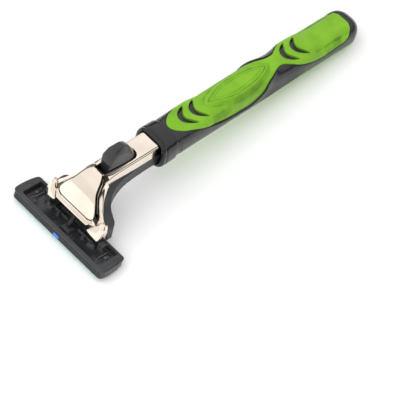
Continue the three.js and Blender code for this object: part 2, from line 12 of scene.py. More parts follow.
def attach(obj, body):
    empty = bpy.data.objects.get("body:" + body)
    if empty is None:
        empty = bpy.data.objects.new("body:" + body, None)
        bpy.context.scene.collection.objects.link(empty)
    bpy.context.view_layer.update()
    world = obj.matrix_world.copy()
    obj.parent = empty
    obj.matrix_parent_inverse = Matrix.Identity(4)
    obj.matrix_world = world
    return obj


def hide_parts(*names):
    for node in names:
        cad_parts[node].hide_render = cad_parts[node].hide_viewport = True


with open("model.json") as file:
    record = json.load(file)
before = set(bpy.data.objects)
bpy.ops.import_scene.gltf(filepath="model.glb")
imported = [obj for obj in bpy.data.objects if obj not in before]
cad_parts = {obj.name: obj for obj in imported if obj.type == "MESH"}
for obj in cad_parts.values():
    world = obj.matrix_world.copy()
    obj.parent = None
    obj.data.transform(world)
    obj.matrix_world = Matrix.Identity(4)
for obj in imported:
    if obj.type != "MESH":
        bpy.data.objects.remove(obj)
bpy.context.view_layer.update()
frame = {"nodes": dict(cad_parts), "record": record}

# ---------------------------------------------------------------- frames
# Pieces are drawn in millimetres in the handle's frame (x to the tail, z to the thumb side),
# or in the cartridge's own frame, and placed in the row frame in metres.
MM = 0.001
LEAN = math.radians(7.17)
HANDLE = (Matrix.Translation((-0.02829747, 0, 0.01650615)) @ Matrix.Rotation(LEAN, 4, "Y")
          @ Matrix.Scale(MM, 4))
CARTRIDGE = HANDLE @ Matrix.Translation((-32.73, 0, -17.83)) @ Matrix.Rotation(math.radians(4.93), 4, "Y")


def placed(points, matrix):
    points = np.asarray(points, float).reshape(-1, 3)
    m = np.array(matrix)
    return points @ m[:3, :3].T + m[:3, 3]


def spline(table, x, column=1):
    """Cubic interpolation of a column of a table against its first column."""
    xs = np.array([row[0] for row in table], float)
    ys = np.array([row[column] for row in table], float)
    slopes = np.gradient(ys, xs)
    x = np.clip(np.asarray(x, float), xs[0], xs[-1])
    i = np.clip(np.searchsorted(xs, x, side="right") - 1, 0, len(xs) - 2)
    h = xs[i + 1] - xs[i]
    t = (x - xs[i]) / h
    return ((2 * t**3 - 3 * t**2 + 1) * ys[i] + (t**3 - 2 * t**2 + t) * h * slopes[i]
            + (3 * t**2 - 2 * t**3) * ys[i + 1] + (t**3 - t**2) * h * slopes[i + 1])


def smoothstep(a, b, x):
    t = np.clip((x - a) / (b - a), 0, 1)
    return t * t * (3 - 2 * t)


# ---------------------------------------------------------------- meshes
def grid_faces(index, flip=False):
    a, b, c, d = index[:-1, :-1], index[1:, :-1], index[1:, 1:], index[:-1, 1:]
    quads = np.stack([a, b, c, d] if not flip else [d, c, b, a], -1).reshape(-1, 4)
    return quads.tolist()


def add_object(name, data):
    obj = bpy.data.objects.new(name, data)
    bpy.context.scene.collection.objects.link(obj)
    return obj


def make_piece(name, points, faces, matrix=HANDLE, merge=1e-6, smooth_angle=40):
    mesh = bpy.data.meshes.new(name)
    mesh.from_pydata(placed(points, matrix).tolist(), [], [list(f) for f in faces])
    bm = bmesh.new()
    bm.from_mesh(mesh)
    bmesh.ops.remove_doubles(bm, verts=bm.verts, dist=merge)
    bmesh.ops.dissolve_degenerate(bm, edges=bm.edges, dist=merge)
    bmesh.ops.recalc_face_normals(bm, faces=bm.faces)
    bm.to_mesh(mesh)
    bm.free()
    shade(mesh, smooth_angle)
    return add_object(name, mesh)


def shade(mesh, angle):
    mesh.polygons.foreach_set("use_smooth", [True] * len(mesh.polygons))
    mesh.set_sharp_from_angle(angle=math.radians(angle))
    mesh.update()


def finish_piece(obj, node, body, material):
    obj.data.materials.clear()
    obj.data.materials.append(material)
    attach(obj, body)
    if node:
        nodes = [node] if isinstance(node, str) else node
        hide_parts(*nodes)
    return obj


def shell(outer, inner):
    """A closed sheet between two grids of points of the same shape."""
    ni, nj = outer.shape[:2]
    top = np.arange(ni * nj).reshape(ni, nj)
    low = top + ni * nj
    faces = grid_faces(top) + grid_faces(low, flip=True)
    for line_a, line_b in ((top[:, 0], low[:, 0]), (low[:, -1], top[:, -1]),
                           (low[0], top[0]), (top[-1], low[-1])):
        faces += grid_faces(np.stack([line_a, line_b]))
    return np.concatenate([outer.reshape(-1, 3), inner.reshape(-1, 3)]), faces


def tube(rings, close_ends=True):
    """A closed skin over rings of points, each ring a closed loop."""
    rings = np.asarray(rings, float)
    ni, nj = rings.shape[:2]
    index = np.arange(ni * nj).reshape(ni, nj)
    index = np.concatenate([index, index[:, :1]], 1)
    faces = grid_faces(index)
    if close_ends:
        faces += [index[0, :-1][::-1].tolist(), index[-1, :-1].tolist()]
    return rings.reshape(-1, 3), faces


def tube_piece(name, rings, matrix=HANDLE, **options):
    points, faces = tube(rings)
    return make_piece(name, points, faces, matrix, **options)


def circle(x, y, radius, count):
    return [(x + radius * math.cos(a), y + radius * math.sin(a))
            for a in np.linspace(0, 2 * math.pi, count + 1)[:-1]]


def lathe(profile, count, x=0.0, y=0.0):
    """Rings about an upright axis through x, y: one for each radius and height of the profile."""
    return [[(*point, z) for point in circle(x, y, radius, count)] for radius, z in profile]


# ---------------------------------------------------------------- materials
def set_stops(ramp, stops):
    elements = ramp.color_ramp.elements
    for i, (place, colour) in enumerate(stops):
        element = elements[i] if i < 2 else elements.new(place)
        element.position = place
        element.color = (*colour, 1)


class Nodes:
    """A short way to write a procedural material."""

    def __init__(self, name):
        self.material = bpy.data.materials.new(name)
        self.material.use_nodes = True
        self.tree = self.material.node_tree
        self.shader = self.tree.nodes["Principled BSDF"]
        self.coords = self.tree.nodes.new("ShaderNodeTexCoord").outputs["Object"]

    def node(self, kind, **values):
        node = self.tree.nodes.new(kind)
        for key, value in values.items():
            if key in node.inputs:
                node.inputs[key].default_value = value
            else:
                setattr(node, key, value)
        return node

    def link(self, a, b):
        self.tree.links.new(a, b)

    def noise(self, scale, detail=3.0, vector=None, roughness=0.5):
        node = self.node("ShaderNodeTexNoise", Scale=scale, Detail=detail, Roughness=roughness)
        self.link(vector or self.coords, node.inputs["Vector"])
        return node.outputs["Fac"]

    def stretched(self, x, y, z):
        node = self.node("ShaderNodeMapping", Scale=(x, y, z))
        self.link(self.coords, node.inputs["Vector"])
        return node.outputs["Vector"]

    def ramp(self, fac, stops):
        node = self.node("ShaderNodeValToRGB")
        set_stops(node, stops)
        self.link(fac, node.inputs["Fac"])
        return node.outputs["Color"]

    def scaled(self, fac, low, high):
        node = self.node("ShaderNodeMapRange", **{"To Min": low, "To Max": high})
        self.link(fac, node.inputs["Value"])
        return node.outputs["Result"]

    def bump(self, fac, distance, strength):
        node = self.node("ShaderNodeBump", Distance=distance, Strength=strength)
        self.link(fac, node.inputs["Height"])
        return node.outputs["Normal"]


def srgb(r, g, b):
    return tuple((c / 255 / 12.92) if c <= 10.3 else ((c / 255 + 0.055) / 1.055) ** 2.4 for c in (r, g, b))


def moulded(name, dark, light, rough=(0.4, 0.55), grain=2500, depth=8e-6):
    """Moulded plastic: two close tones in a broad mottle, a fine skin and varying gloss."""
    m = Nodes(name)
    broad = m.noise(220, 4)
    m.link(m.ramp(broad, [(0.3, dark), (0.7, light)]), m.shader.inputs["Base Color"])
    fine = m.noise(grain, 2)
    m.link(m.scaled(m.noise(600, 3), *rough), m.shader.inputs["Roughness"])
    m.link(m.bump(fine, depth, 0.35), m.shader.inputs["Normal"])
    return m.material


def rubber(name, dark, light):
    """Soft rubber: a satin skin, a light powdery mottle, painted shade that darkens the grooves, and a slight
    sheen.
    """
    m = Nodes(name)
    sunk = m.node("ShaderNodeAttribute", attribute_name="sunk").outputs["Fac"]
    # Painted shade: the sunk attribute lowers the tone, so the grooves run towards a deeper copy of the
    # green; the noise adds the real mottle.
    shade_and_mottle = m.node("ShaderNodeMath", operation="MULTIPLY_ADD")
    m.link(sunk, shade_and_mottle.inputs[0])
    shade_and_mottle.inputs[1].default_value = -1.1
    m.link(m.noise(160, 5), shade_and_mottle.inputs[2])
    groove_shade = tuple(0.42 * c for c in dark)
    m.link(m.ramp(shade_and_mottle.outputs[0], [(0.05, groove_shade), (0.35, dark), (0.7, light)]), m.shader.inputs["Base Color"])
    m.link(m.scaled(m.noise(900, 3), 0.48, 0.62), m.shader.inputs["Roughness"])
    m.link(m.bump(m.noise(3200, 2), 1.2e-5, 0.3), m.shader.inputs["Normal"])
    m.shader.inputs["Specular IOR Level"].default_value = 0.35
    m.shader.inputs["Sheen Weight"].default_value = 0.06
    return m.material


def plated(name, dark, light, rough=(0.05, 0.12)):
    """Bright plating: warm metal with a faint flow in its gloss and the finest ripple."""
    m = Nodes(name)
    m.link(m.ramp(m.noise(130, 3), [(0.3, dark), (0.7, light)]), m.shader.inputs["Base Color"])
    m.link(m.scaled(m.noise(700, 4), *rough), m.shader.inputs["Roughness"])
    m.link(m.bump(m.noise(420, 2), 6e-6, 0.15), m.shader.inputs["Normal"])
    m.shader.inputs["Metallic"].default_value = 1.0
    return m.material


def ground_steel(name, dark, light, along):
    """Ground steel: fine scratches along one direction, with a brighter and a duller tone."""
    m = Nodes(name)
    lines = m.noise(900, 4, vector=m.stretched(*along))
    m.link(m.ramp(lines, [(0.3, dark), (0.7, light)]), m.shader.inputs["Base Color"])
    m.link(m.scaled(lines, 0.18, 0.4), m.shader.inputs["Roughness"])
    m.link(m.bump(lines, 4e-6, 0.4), m.shader.inputs["Normal"])
    m.shader.inputs["Metallic"].default_value = 1.0
    return m.material


MATERIAL = {
    "core": moulded("core_plastic", srgb(28, 28, 30), srgb(38, 38, 40), (0.2, 0.32)),
    "collar": moulded("collar_plastic", srgb(18, 18, 20), srgb(28, 28, 30), (0.12, 0.22)),
    "grip": rubber("green_rubber", srgb(112, 167, 20), srgb(126, 181, 34)),
    "base": moulded("neck_plastic", srgb(40, 41, 43), srgb(50, 51, 53), (0.4, 0.55)),
    "cartridge": moulded("cartridge_plastic", srgb(40, 41, 43), srgb(52, 53, 55), (0.22, 0.34)),
    "button": moulded("button_plastic", srgb(38, 39, 40), srgb(48, 49, 50), (0.2, 0.3)),
    "mechanism": moulded("mechanism_plastic", srgb(32, 32, 34), srgb(42, 42, 44), (0.4, 0.6)),
    "chrome": plated("warm_chrome", srgb(236, 222, 206), srgb(248, 236, 222)),
    "spring": ground_steel("spring_steel", srgb(150, 152, 156), srgb(190, 192, 196), (1, 1, 1)),
    "blade": ground_steel("blade_steel", srgb(196, 194, 192), srgb(228, 226, 224), (20, 0.2, 1)),
    "strip": moulded("strip_wax", srgb(62, 160, 156), srgb(86, 186, 180), (0.3, 0.45), 1500, 2e-5),
    "mark": moulded("mark_plastic", srgb(44, 112, 232), srgb(66, 136, 248), (0.25, 0.35)),
}

# ---------------------------------------------------------------- handle surface
# x, half width, top, bottom of the handle's rounded section; then a rounded tail.
STATIONS = [
    (8, 6.55, 5.5, -5.8), (15, 6.6, 5.9, -5.6), (22, 6.65, 6.1, -5.5), (35, 6.7, 6.35, -5.3),
    (50, 6.7, 6.35, -5.3), (60, 6.5, 6.0, -5.35), (68, 6.6, 6.4, -5.1), (76, 6.4, 5.95, -5.3),
    (85, 6.37, 5.95, -5.1), (92.5, 6.3, 5.95, -5.0), (98, 6.3, 5.95, -5.0),
]
TAIL_START = 92.5
TAIL_END = 98.0
SQUARENESS = 2.8
POLYLINE = np.linspace(0, math.pi, 721)


def rounded_half(half, top, bottom, squareness=SQUARENESS, angles=POLYLINE):
    """Right half of a rounded section, from its top to its bottom, as y and z."""
    y = half * np.abs(np.sin(angles)) ** (2 / squareness)
    cos = np.cos(angles)
    z = (top + bottom) / 2 + (top - bottom) / 2 * np.sign(cos) * np.abs(cos) ** (2 / squareness)
    return y, z


def section(x):
    """Right half section at x, with its normals and its arc length, in mm."""
    half, top, bottom = (float(spline(STATIONS, x, k)) for k in (1, 2, 3))
    along = max(0.0, (x - TAIL_START) / (TAIL_END - TAIL_START))
    round_off = max(0.012, math.sqrt(max(0.0, 1 - along**2)))
    middle = (top + bottom) / 2
    rise = (top - bottom) / 2 * round_off
    y, z = rounded_half(half * round_off, middle + rise, middle - rise)
    step = np.hypot(np.diff(y), np.diff(z))
    arc = np.concatenate([[0], np.cumsum(step)])
    dy, dz = np.gradient(y), np.gradient(z)
    size = np.hypot(dy, dz) + 1e-12
    ny, nz = -dz / size, dy / size
    ny[0], ny[-1] = 0, 0
    nz[0], nz[-1] = 1, -1
    return y, z, ny, nz, arc


def handle_surface(xs, arcs, depth):
    """Points at arc lengths (mm from the top centre, negative to the left) sunk by depth."""
    out = np.zeros((len(xs), arcs.shape[1], 3))
    for i, x in enumerate(xs):
        y, z, ny, nz, arc = section(x)
        a = np.abs(arcs[i])
        side = np.where(arcs[i] < 0, -1, 1)
        py, pz = np.interp(a, arc, y), np.interp(a, arc, z)
        qy, qz = np.interp(a, arc, ny), np.interp(a, arc, nz)
        out[i, :, 0] = x
        out[i, :, 1] = side * (py - depth[i] * qy)
        out[i, :, 2] = pz - depth[i] * qz
    return out


def arc_of(x, kind, value):
    """Arc length at which the section at x reaches that half width (on top) or that height."""
    y, z, _, _, arc = section(x)
    if kind == "y":
        crest = int(np.argmax(y))
        return float(np.interp(value, y[:crest], arc[:crest]))
    return float(np.interp(-value, -z, arc))


def arc_table(points):
    return [(x, arc_of(x, kind, value)) for x, kind, value in points]


THUMB_EDGE = arc_table([
    (7.6, "y", 0), (7.72, "y", 0.6), (8.0, "y", 1.35), (8.5, "y", 2.15), (9.75, "y", 3.3), (11.5, "y", 4.4),
    (14.3, "y", 5.3), (17.6, "z", 3.5), (22.2, "z", 2.1), (29.4, "z", 0.1), (36.5, "z", -0.6),
    (43.2, "z", -0.2), (47.5, "z", 2.0), (50.3, "y", 5.85), (53.9, "y", 4.4), (56.7, "y", 3.05),
    (58.2, "y", 2.75), (59.6, "y", 2.9), (61.7, "y", 4.0), (65.3, "y", 5.75), (70.9, "z", 2.5),
    (77.8, "z", 1.3), (83.5, "z", 1.6), (88.1, "z", 2.2), (90.2, "z", 3.4), (91.4, "y", 4.9),
    (92.1, "y", 3.3), (92.42, "y", 1.7), (92.5, "y", 0),
])
BACK_EDGE = arc_table([
    (8.9, "z", -3.1), (25, "z", -3.0), (40, "z", -2.8), (46, "z", -2.5), (52, "z", -2.1), (62, "z", -1.8),
    (75, "z", -1.7), (87, "z", -1.7), (92, "z", -2.0), (95.4, "z", -2.4), (96.6, "z", -2.5),
    (97.35, "z", -2.5),
])
THUMB_START, THUMB_END = 7.6, 92.5
BACK_START, BACK_END = 8.9, 97.4
CORE_START = 6.85
SEAM = 0.07          # half of the fine gap between the rubber and the core
ROUND = 0.35         # edge radius of the rubber
GRIP_DEPTH = 1.05    # how deep the rubber's bed lies in the core
BOSS_X, BOSS_FACE = 88.2, -5.08      # where the round boss sits, and the height of its face
SLOTS = [(14.0, 18.0), (19.25, 22.85), (62.85, 66.35), (67.8, 71.35)]
SLOT_SPAN, SLOT_WIDTH = 4.4, 2.3
LEAF = [
    (24, 0), (25.4, 1.4), (28.9, 3.1), (34, 4.75), (40.6, 5.05), (47.5, 4.2), (52.2, 2.6), (54.6, 1.1),
    (55.4, 0),
]


def slot_distance(x, y):
    """Distance in mm outside the nearest crescent slot, negative inside."""
    best = np.full(np.shape(x), 99.0)
    for middle, tips in SLOTS:
        along = np.clip(np.abs(y) / SLOT_SPAN, 0, 1.2)
        centre = middle + (tips - middle) * along**2
        half = SLOT_WIDTH / 2 * np.clip(1 - along**2, 0, 1) ** 0.8
        outside = np.abs(x - centre) / np.sqrt(1 + (2 * (tips - middle) * along / SLOT_SPAN) ** 2) - half
        outside = outside + np.maximum(0, np.abs(y) - SLOT_SPAN)
        best = np.minimum(best, outside)
    return best


def thumb_relief(x, y, z):
    """How far the thumb grip's skin is sunk at each point of the handle's surface, and how much shade is
    painted there: in the grooves, at the foot of the pad's edge and along the facet's crease.
    """
    leaf = spline(LEAF, x)
    inside = np.where((x > LEAF[0][0]) & (x < LEAF[-1][0]), (leaf - np.abs(y)) * 0.93, -9.0)
    inside = np.minimum(inside, np.minimum(x - LEAF[0][0], LEAF[-1][0] - x) * 0.9)
    pad = smoothstep(0, 1.15, inside)
    ring = np.exp(-((inside - 1.75) / 0.16) ** 2) + 0.7 * np.exp(-((inside - 2.7) / 0.14) ** 2)
    near = smoothstep(20, 27, x) * (1 - smoothstep(54, 59, x))
    broad = 0.66 * near * (1 - pad)
    depth = 0.36 * ring * (inside > 0)
    band = smoothstep(0.05, 0.3, inside) * (1 - smoothstep(0.95, 1.2, inside))
    depth = depth + 0.24 * band * (0.5 + 0.5 * np.cos(2 * np.pi * x / 0.62)) * smoothstep(27, 30, x)
    ribs = smoothstep(1.2, 1.8, z) * (1 - smoothstep(4.2, 4.9, z))
    patch = smoothstep(23.2, 24.2, x) * (1 - smoothstep(32.5, 33.5, x))
    patch = patch + smoothstep(78.2, 79.2, x) * (1 - smoothstep(86.4, 87.4, x))
    depth = depth + 0.26 * ribs * patch * (0.5 + 0.5 * np.cos(2 * np.pi * x / 0.85))
    facet = smoothstep(72.5, 75.5, x) * (1 - smoothstep(90.5, 92, x))
    crease = np.clip((np.abs(y) - 2.7) / 1.9, 0, 1) * (1 - smoothstep(4.9, 6.3, np.abs(y)))
    broad = broad + 0.5 * facet * crease
    depth = depth + 0.16 * np.exp(-(np.maximum(0, slot_distance(x, y)) / 0.28) ** 2)
    # Painted shade only: the foot of the pad's edge and of the facet's crease darken the colour but do not
    # change the skin's shape.
    painted_foot_shade = 0.22 * near * np.exp(-((inside + 0.15) / 0.4) ** 2)
    painted_foot_shade = painted_foot_shade + 0.2 * facet * np.exp(-((crease - 1) / 0.12) ** 2)
    return broad + depth, depth + painted_foot_shade


def edge_round(distance, radius=ROUND):
    inside = np.clip(1 - distance / radius, 0, 1)
    return radius * (1 - np.sqrt(1 - inside**2))


def graded(start, end, step, fine_start=1.2, fine_end=1.2):
    """Stations along x, closer together near both ends."""
    middle = np.arange(start + fine_start, end - fine_end, step)
    head = start + fine_start * (np.linspace(0, 1, 14) ** 2)
    tail = end - fine_end * (np.linspace(1, 0, 14) ** 2)
    return np.concatenate([head[:-1], middle, tail])


def crescent_cutter(middle, tips):
    shape = []
    for sign, ys in ((-1, np.linspace(-1, 1, 33)), (1, np.linspace(1, -1, 33)[1:-1])):
        for t in ys:
            half = SLOT_WIDTH / 2 * max(0.0, 1 - t * t) ** 0.8
            slope = math.sqrt(1 + (2 * (tips - middle) * t / SLOT_SPAN) ** 2)
            shape.append((middle + (tips - middle) * t * t + sign * half * slope, t * SLOT_SPAN))
    rings = [[(x, y, z) for x, y in shape] for z in (2.0, 9.0)]
    return tube_piece("cutter", rings)


def build_thumb_grip():
    xs = graded(THUMB_START, THUMB_END, 0.19)
    spread = np.sin(np.linspace(-1, 1, 117) * math.pi / 2)
    edge = spline(THUMB_EDGE, xs) - SEAM
    edge = np.maximum(edge, 0.05)
    arcs = edge[:, None] * spread[None, :]
    flat = handle_surface(xs, arcs, np.zeros(arcs.shape))
    from_end = np.minimum(xs - THUMB_START, THUMB_END - xs)[:, None]
    from_edge = np.minimum(edge[:, None] - np.abs(arcs), from_end * 1.4)
    depth = thumb_relief(flat[..., 0], np.abs(flat[..., 1]), flat[..., 2])[0] + edge_round(from_edge)
    outer = handle_surface(xs, arcs, depth)
    inner = handle_surface(xs, arcs, np.full(arcs.shape, GRIP_DEPTH - 0.05))
    points, faces = shell(outer, inner)
    grip = make_piece("thumb_grip_rubber", points, faces)
    combine(grip, [crescent_cutter(*slot) for slot in SLOTS], "DIFFERENCE")
    shade(grip.data, 50)
    # The painted shade from thumb_relief is stored as the sunk attribute, which darkens the rubber's colour
    # in the grooves and creases.
    points = np.empty(3 * len(grip.data.vertices))
    grip.data.vertices.foreach_get("co", points)
    x, y, z = placed(points, HANDLE.inverted()).T
    sunk = grip.data.attributes.new("sunk", "FLOAT", "POINT")
    sunk.data.foreach_set("value", thumb_relief(x, np.abs(y), z)[1])
    return finish_piece(grip, "thumb_grip", "handle", MATERIAL["grip"])


def back_relief(x, z):
    """Small round pips in staggered rows along the sides of the back grip."""
    pitch = 1.25
    row = np.round(z / 0.95)
    shift = np.where(row % 2 == 0, 0.0, pitch / 2)
    dx = (x - shift) / pitch - np.round((x - shift) / pitch)
    dz = z / 0.95 - row
    pip = np.exp(-((dx * pitch) ** 2 + (dz * 0.95) ** 2) / 0.28**2)
    zone = smoothstep(14, 17, x) * (1 - smoothstep(86, 89, x))
    zone = zone * (1 - smoothstep(-1.6, -1.1, z)) * smoothstep(-4.9, -4.4, z)
    return 0.16 * zone * (1 - pip)


def build_back_grip():
    xs = graded(BACK_START, BACK_END, 0.3, 0.6, 1.2)
    spread = np.sin(np.linspace(-1, 1, 91) * math.pi / 2)
    arcs = np.zeros((len(xs), len(spread)))
    from_edge = np.zeros(arcs.shape)
    for i, x in enumerate(xs):
        total = section(x)[4][-1]
        width = max(0.05, total - float(spline(BACK_EDGE, x)) - SEAM)
        arcs[i] = total - width * np.abs(spread)
        from_edge[i] = np.minimum(width * (1 - np.abs(spread)), min(x - BACK_START, BACK_END - x) * 1.4)
    side = np.sign(spread)
    side[side == 0] = 1

    def surface(depth):
        points = handle_surface(xs, arcs, depth)
        points[..., 1] *= side
        return points

    flat = surface(np.zeros(arcs.shape))
    depth = edge_round(from_edge) + back_relief(flat[..., 0], flat[..., 2])
    points, faces = shell(surface(depth), surface(np.full(arcs.shape, GRIP_DEPTH - 0.05)))
    grip = make_piece("back_grip_rubber", points, faces)
    hole = lathe([(1.72, -7.0), (1.72, -2.0)], 48, BOSS_X)
    combine(grip, [tube_piece("cutter", hole)], "DIFFERENCE")
    shade(grip.data, 50)
    return finish_piece(grip, "back_grip", "handle", MATERIAL["grip"])


def build_core():
    tail = TAIL_START + (TAIL_END - TAIL_START) * np.sin(np.linspace(0.02, 1, 40) * math.pi / 2)
    xs = np.concatenate([graded(CORE_START, 92.6, 0.3, 1.4, 1.0)[:-1], tail])
    rows, depths = [], []
    for x in xs:
        total = section(x)[4][-1]
        in_thumb = THUMB_START < x < THUMB_END
        in_back = BACK_START < x < BACK_END
        t = max(0.0, float(spline(THUMB_EDGE, x))) if in_thumb else 0.0
        b = total - max(0.0, total - float(spline(BACK_EDGE, x))) if in_back else total
        t, b = min(t, total), min(max(b, t), total)
        deep_t = GRIP_DEPTH * min(1.0, t / 0.5)
        deep_b = GRIP_DEPTH * min(1.0, (total - b) / 0.5)
        gap_t, gap_b = SEAM * min(1.0, t / 0.2), SEAM * min(1.0, (total - b) / 0.2)
        lo, hi = t + gap_t, b - gap_b
        r = min(0.24, (hi - lo) / 3)
        right = [*np.linspace(0, lo, 9), lo, lo + 0.3 * r, lo + r, *np.linspace(lo + r, hi - r, 13)[1:-1],
                 hi - r, hi - 0.3 * r, hi, hi, *np.linspace(hi, total, 9)[1:]]
        across = np.sin(np.linspace(0, math.pi, 13)[1:-1]) ** 0.7
        waist = 0.65 * smoothstep(43, 53, x) * (1 - smoothstep(59, 69, x)) * across
        sunk = [*[deep_t] * 9, 0.7 * r * min(1, deep_t), 0.18 * r * min(1, deep_t), 0, *waist, 0,
                0.18 * r * min(1, deep_b), 0.7 * r * min(1, deep_b), deep_b, *[deep_b] * 8]
        rows.append([*right, *[-a for a in right[-2:0:-1]]])
        depths.append([*sunk, *sunk[-2:0:-1]])
    rings = handle_surface(xs, np.array(rows), np.array(depths))
    core = tube_piece("handle_core_body", rings, merge=2e-6)
    return finish_piece(core, "handle_core", "handle", MATERIAL["core"])


def build_tail_boss():
    """The round boss of the core that shows through the back grip, dished in its middle."""
    profile = [(0.55, 0.24), (0.8, 0.1), (1.0, 0.02), (1.3, 0.02), (1.45, 0.1), (1.52, 0.3), (1.52, 1.4)]
    boss = tube_piece("tail_boss", lathe([(r, BOSS_FACE + d) for r, d in profile], 40, BOSS_X))
    return finish_piece(boss, None, "handle", MATERIAL["core"])


# ---------------------------------------------------------------- collar
# x, half width, top, bottom round the collar's wall: front lip, ring line, band, bore.
COLLAR_WALL = [
    (3.2, 4.95, 5.12, -5.2, 5.0), (0.6, 4.95, 5.12, -5.2, 5.0), (0.2, 5.1, 5.2, -5.3, 4.6),
    (0.0, 5.5, 5.35, -5.5, 4.0), (0.0, 6.1, 5.5, -5.8, 3.2), (0.08, 6.6, 5.6, -6.05, 2.8),
    (0.35, 6.85, 5.78, -6.25, 2.8), (0.75, 6.98, 5.88, -6.36, 2.8), (1.3, 7.0, 5.9, -6.4, 2.8),
    (1.42, 6.84, 5.74, -6.24, 2.8), (1.6, 6.84, 5.74, -6.24, 2.8), (1.74, 7.0, 5.9, -6.4, 2.8),
    (2.6, 7.0, 5.9, -6.4, 2.8), (4.5, 7.0, 5.88, -6.38, 2.8), (5.8, 6.98, 5.86, -6.34, 2.8),
    (6.4, 6.93, 5.8, -6.25, 2.8), (6.7, 6.82, 5.7, -6.1, 2.8), (6.8, 6.62, 5.56, -5.9, 2.8),
    (6.8, 6.1, 5.1, -5.45, 2.8), (6.3, 5.95, 5.0, -5.35, 3.2),
]


def full_ring(x, half, top, bottom, squareness, count=144):
    angles = np.linspace(0, 2 * math.pi, count + 1)[:-1]
    y, z = rounded_half(half, top, bottom, squareness, angles)
    return np.stack([np.full(count, x), np.where(angles > math.pi, -y, y), z], 1)


def build_collar():
    rings = np.array([full_ring(*wall) for wall in COLLAR_WALL])
    points, faces = tube(np.concatenate([rings, rings[:1]]), close_ends=False)
    collar = make_piece("collar_sleeve", points, faces, smooth_angle=60)
    return finish_piece(collar, "collar", "handle", MATERIAL["collar"])


# ---------------------------------------------------------------- solid helpers
def prism(points, axis, low, high, matrix=HANDLE, name="cutter"):
    """A closed prism: points are (x, y), (x, z) or (y, z) for axis z, y or x."""
    def lift(a, b, c):
        return {"z": (a, b, c), "y": (a, c, b), "x": (c, a, b)}[axis]
    rings = [[lift(a, b, level) for a, b in points] for level in (low, high)]
    return tube_piece(name, rings, matrix)


def block(x0, x1, y0, y1, z0, z1, matrix=HANDLE, name="cutter"):
    return prism([(x0, y0), (x1, y0), (x1, y1), (x0, y1)], "z", z0, z1, matrix, name)


def disc(x, y, radius, z0, z1, matrix=HANDLE, count=32, axis="z", name="cutter"):
    return prism(circle(x, y, radius, count), axis, z0, z1, matrix, name)


def combine(obj, others, operation):
    for other in others:
        modifier = obj.modifiers.new("combine", "BOOLEAN")
        modifier.operation = operation
        modifier.solver = "MANIFOLD"
        modifier.object = other
    apply_modifiers(obj)
    for other in others:
        bpy.data.objects.remove(other)
    return obj


def apply_modifiers(obj):
    depsgraph = bpy.context.evaluated_depsgraph_get()
    result = bpy.data.meshes.new_from_object(obj.evaluated_get(depsgraph))
    obj.modifiers.clear()
    obj.data = result


def moulding(obj, voxel, rounds, angle=70):
    """Turns a sharp solid into a moulding: an even skin with small fillets on every edge."""
    remesh = obj.modifiers.new("skin", "REMESH")
    remesh.mode = "VOXEL"
    remesh.voxel_size = voxel * MM
    soften = obj.modifiers.new("fillet", "SMOOTH")
    soften.factor = 0.5
    soften.iterations = rounds
    apply_modifiers(obj)
    shade(obj.data, angle)
    return obj


def rounded_hull(name, points, radius, segments=3, angle=35):
    """The convex body of some corner points, with every edge rounded."""
    bm = bmesh.new()
    for point in placed(points, HANDLE):
        bm.verts.new(point)
    hull = bmesh.ops.convex_hull(bm, input=bm.verts)
    inner = [v for v in hull["geom_interior"] if isinstance(v, bmesh.types.BMVert)]
    bmesh.ops.delete(bm, geom=inner, context="VERTS")
    bmesh.ops.dissolve_limit(bm, angle_limit=math.radians(2), verts=bm.verts, edges=bm.edges)
    bmesh.ops.bevel(bm, geom=list(bm.edges), offset=radius * MM, segments=segments, profile=0.5,
                    affect="EDGES")
    bmesh.ops.recalc_face_normals(bm, faces=bm.faces)
    mesh = bpy.data.meshes.new(name)
    bm.to_mesh(mesh)
    bm.free()
    shade(mesh, angle)
    return add_object(name, mesh)


def join(objects, name):
    """One mesh made of several closed bodies."""
    bm = bmesh.new()
    for obj in objects:
        bm.from_mesh(obj.data)
        bpy.data.objects.remove(obj)
    mesh = bpy.data.meshes.new(name)
    bm.to_mesh(mesh)
    bm.free()
    return add_object(name, mesh)


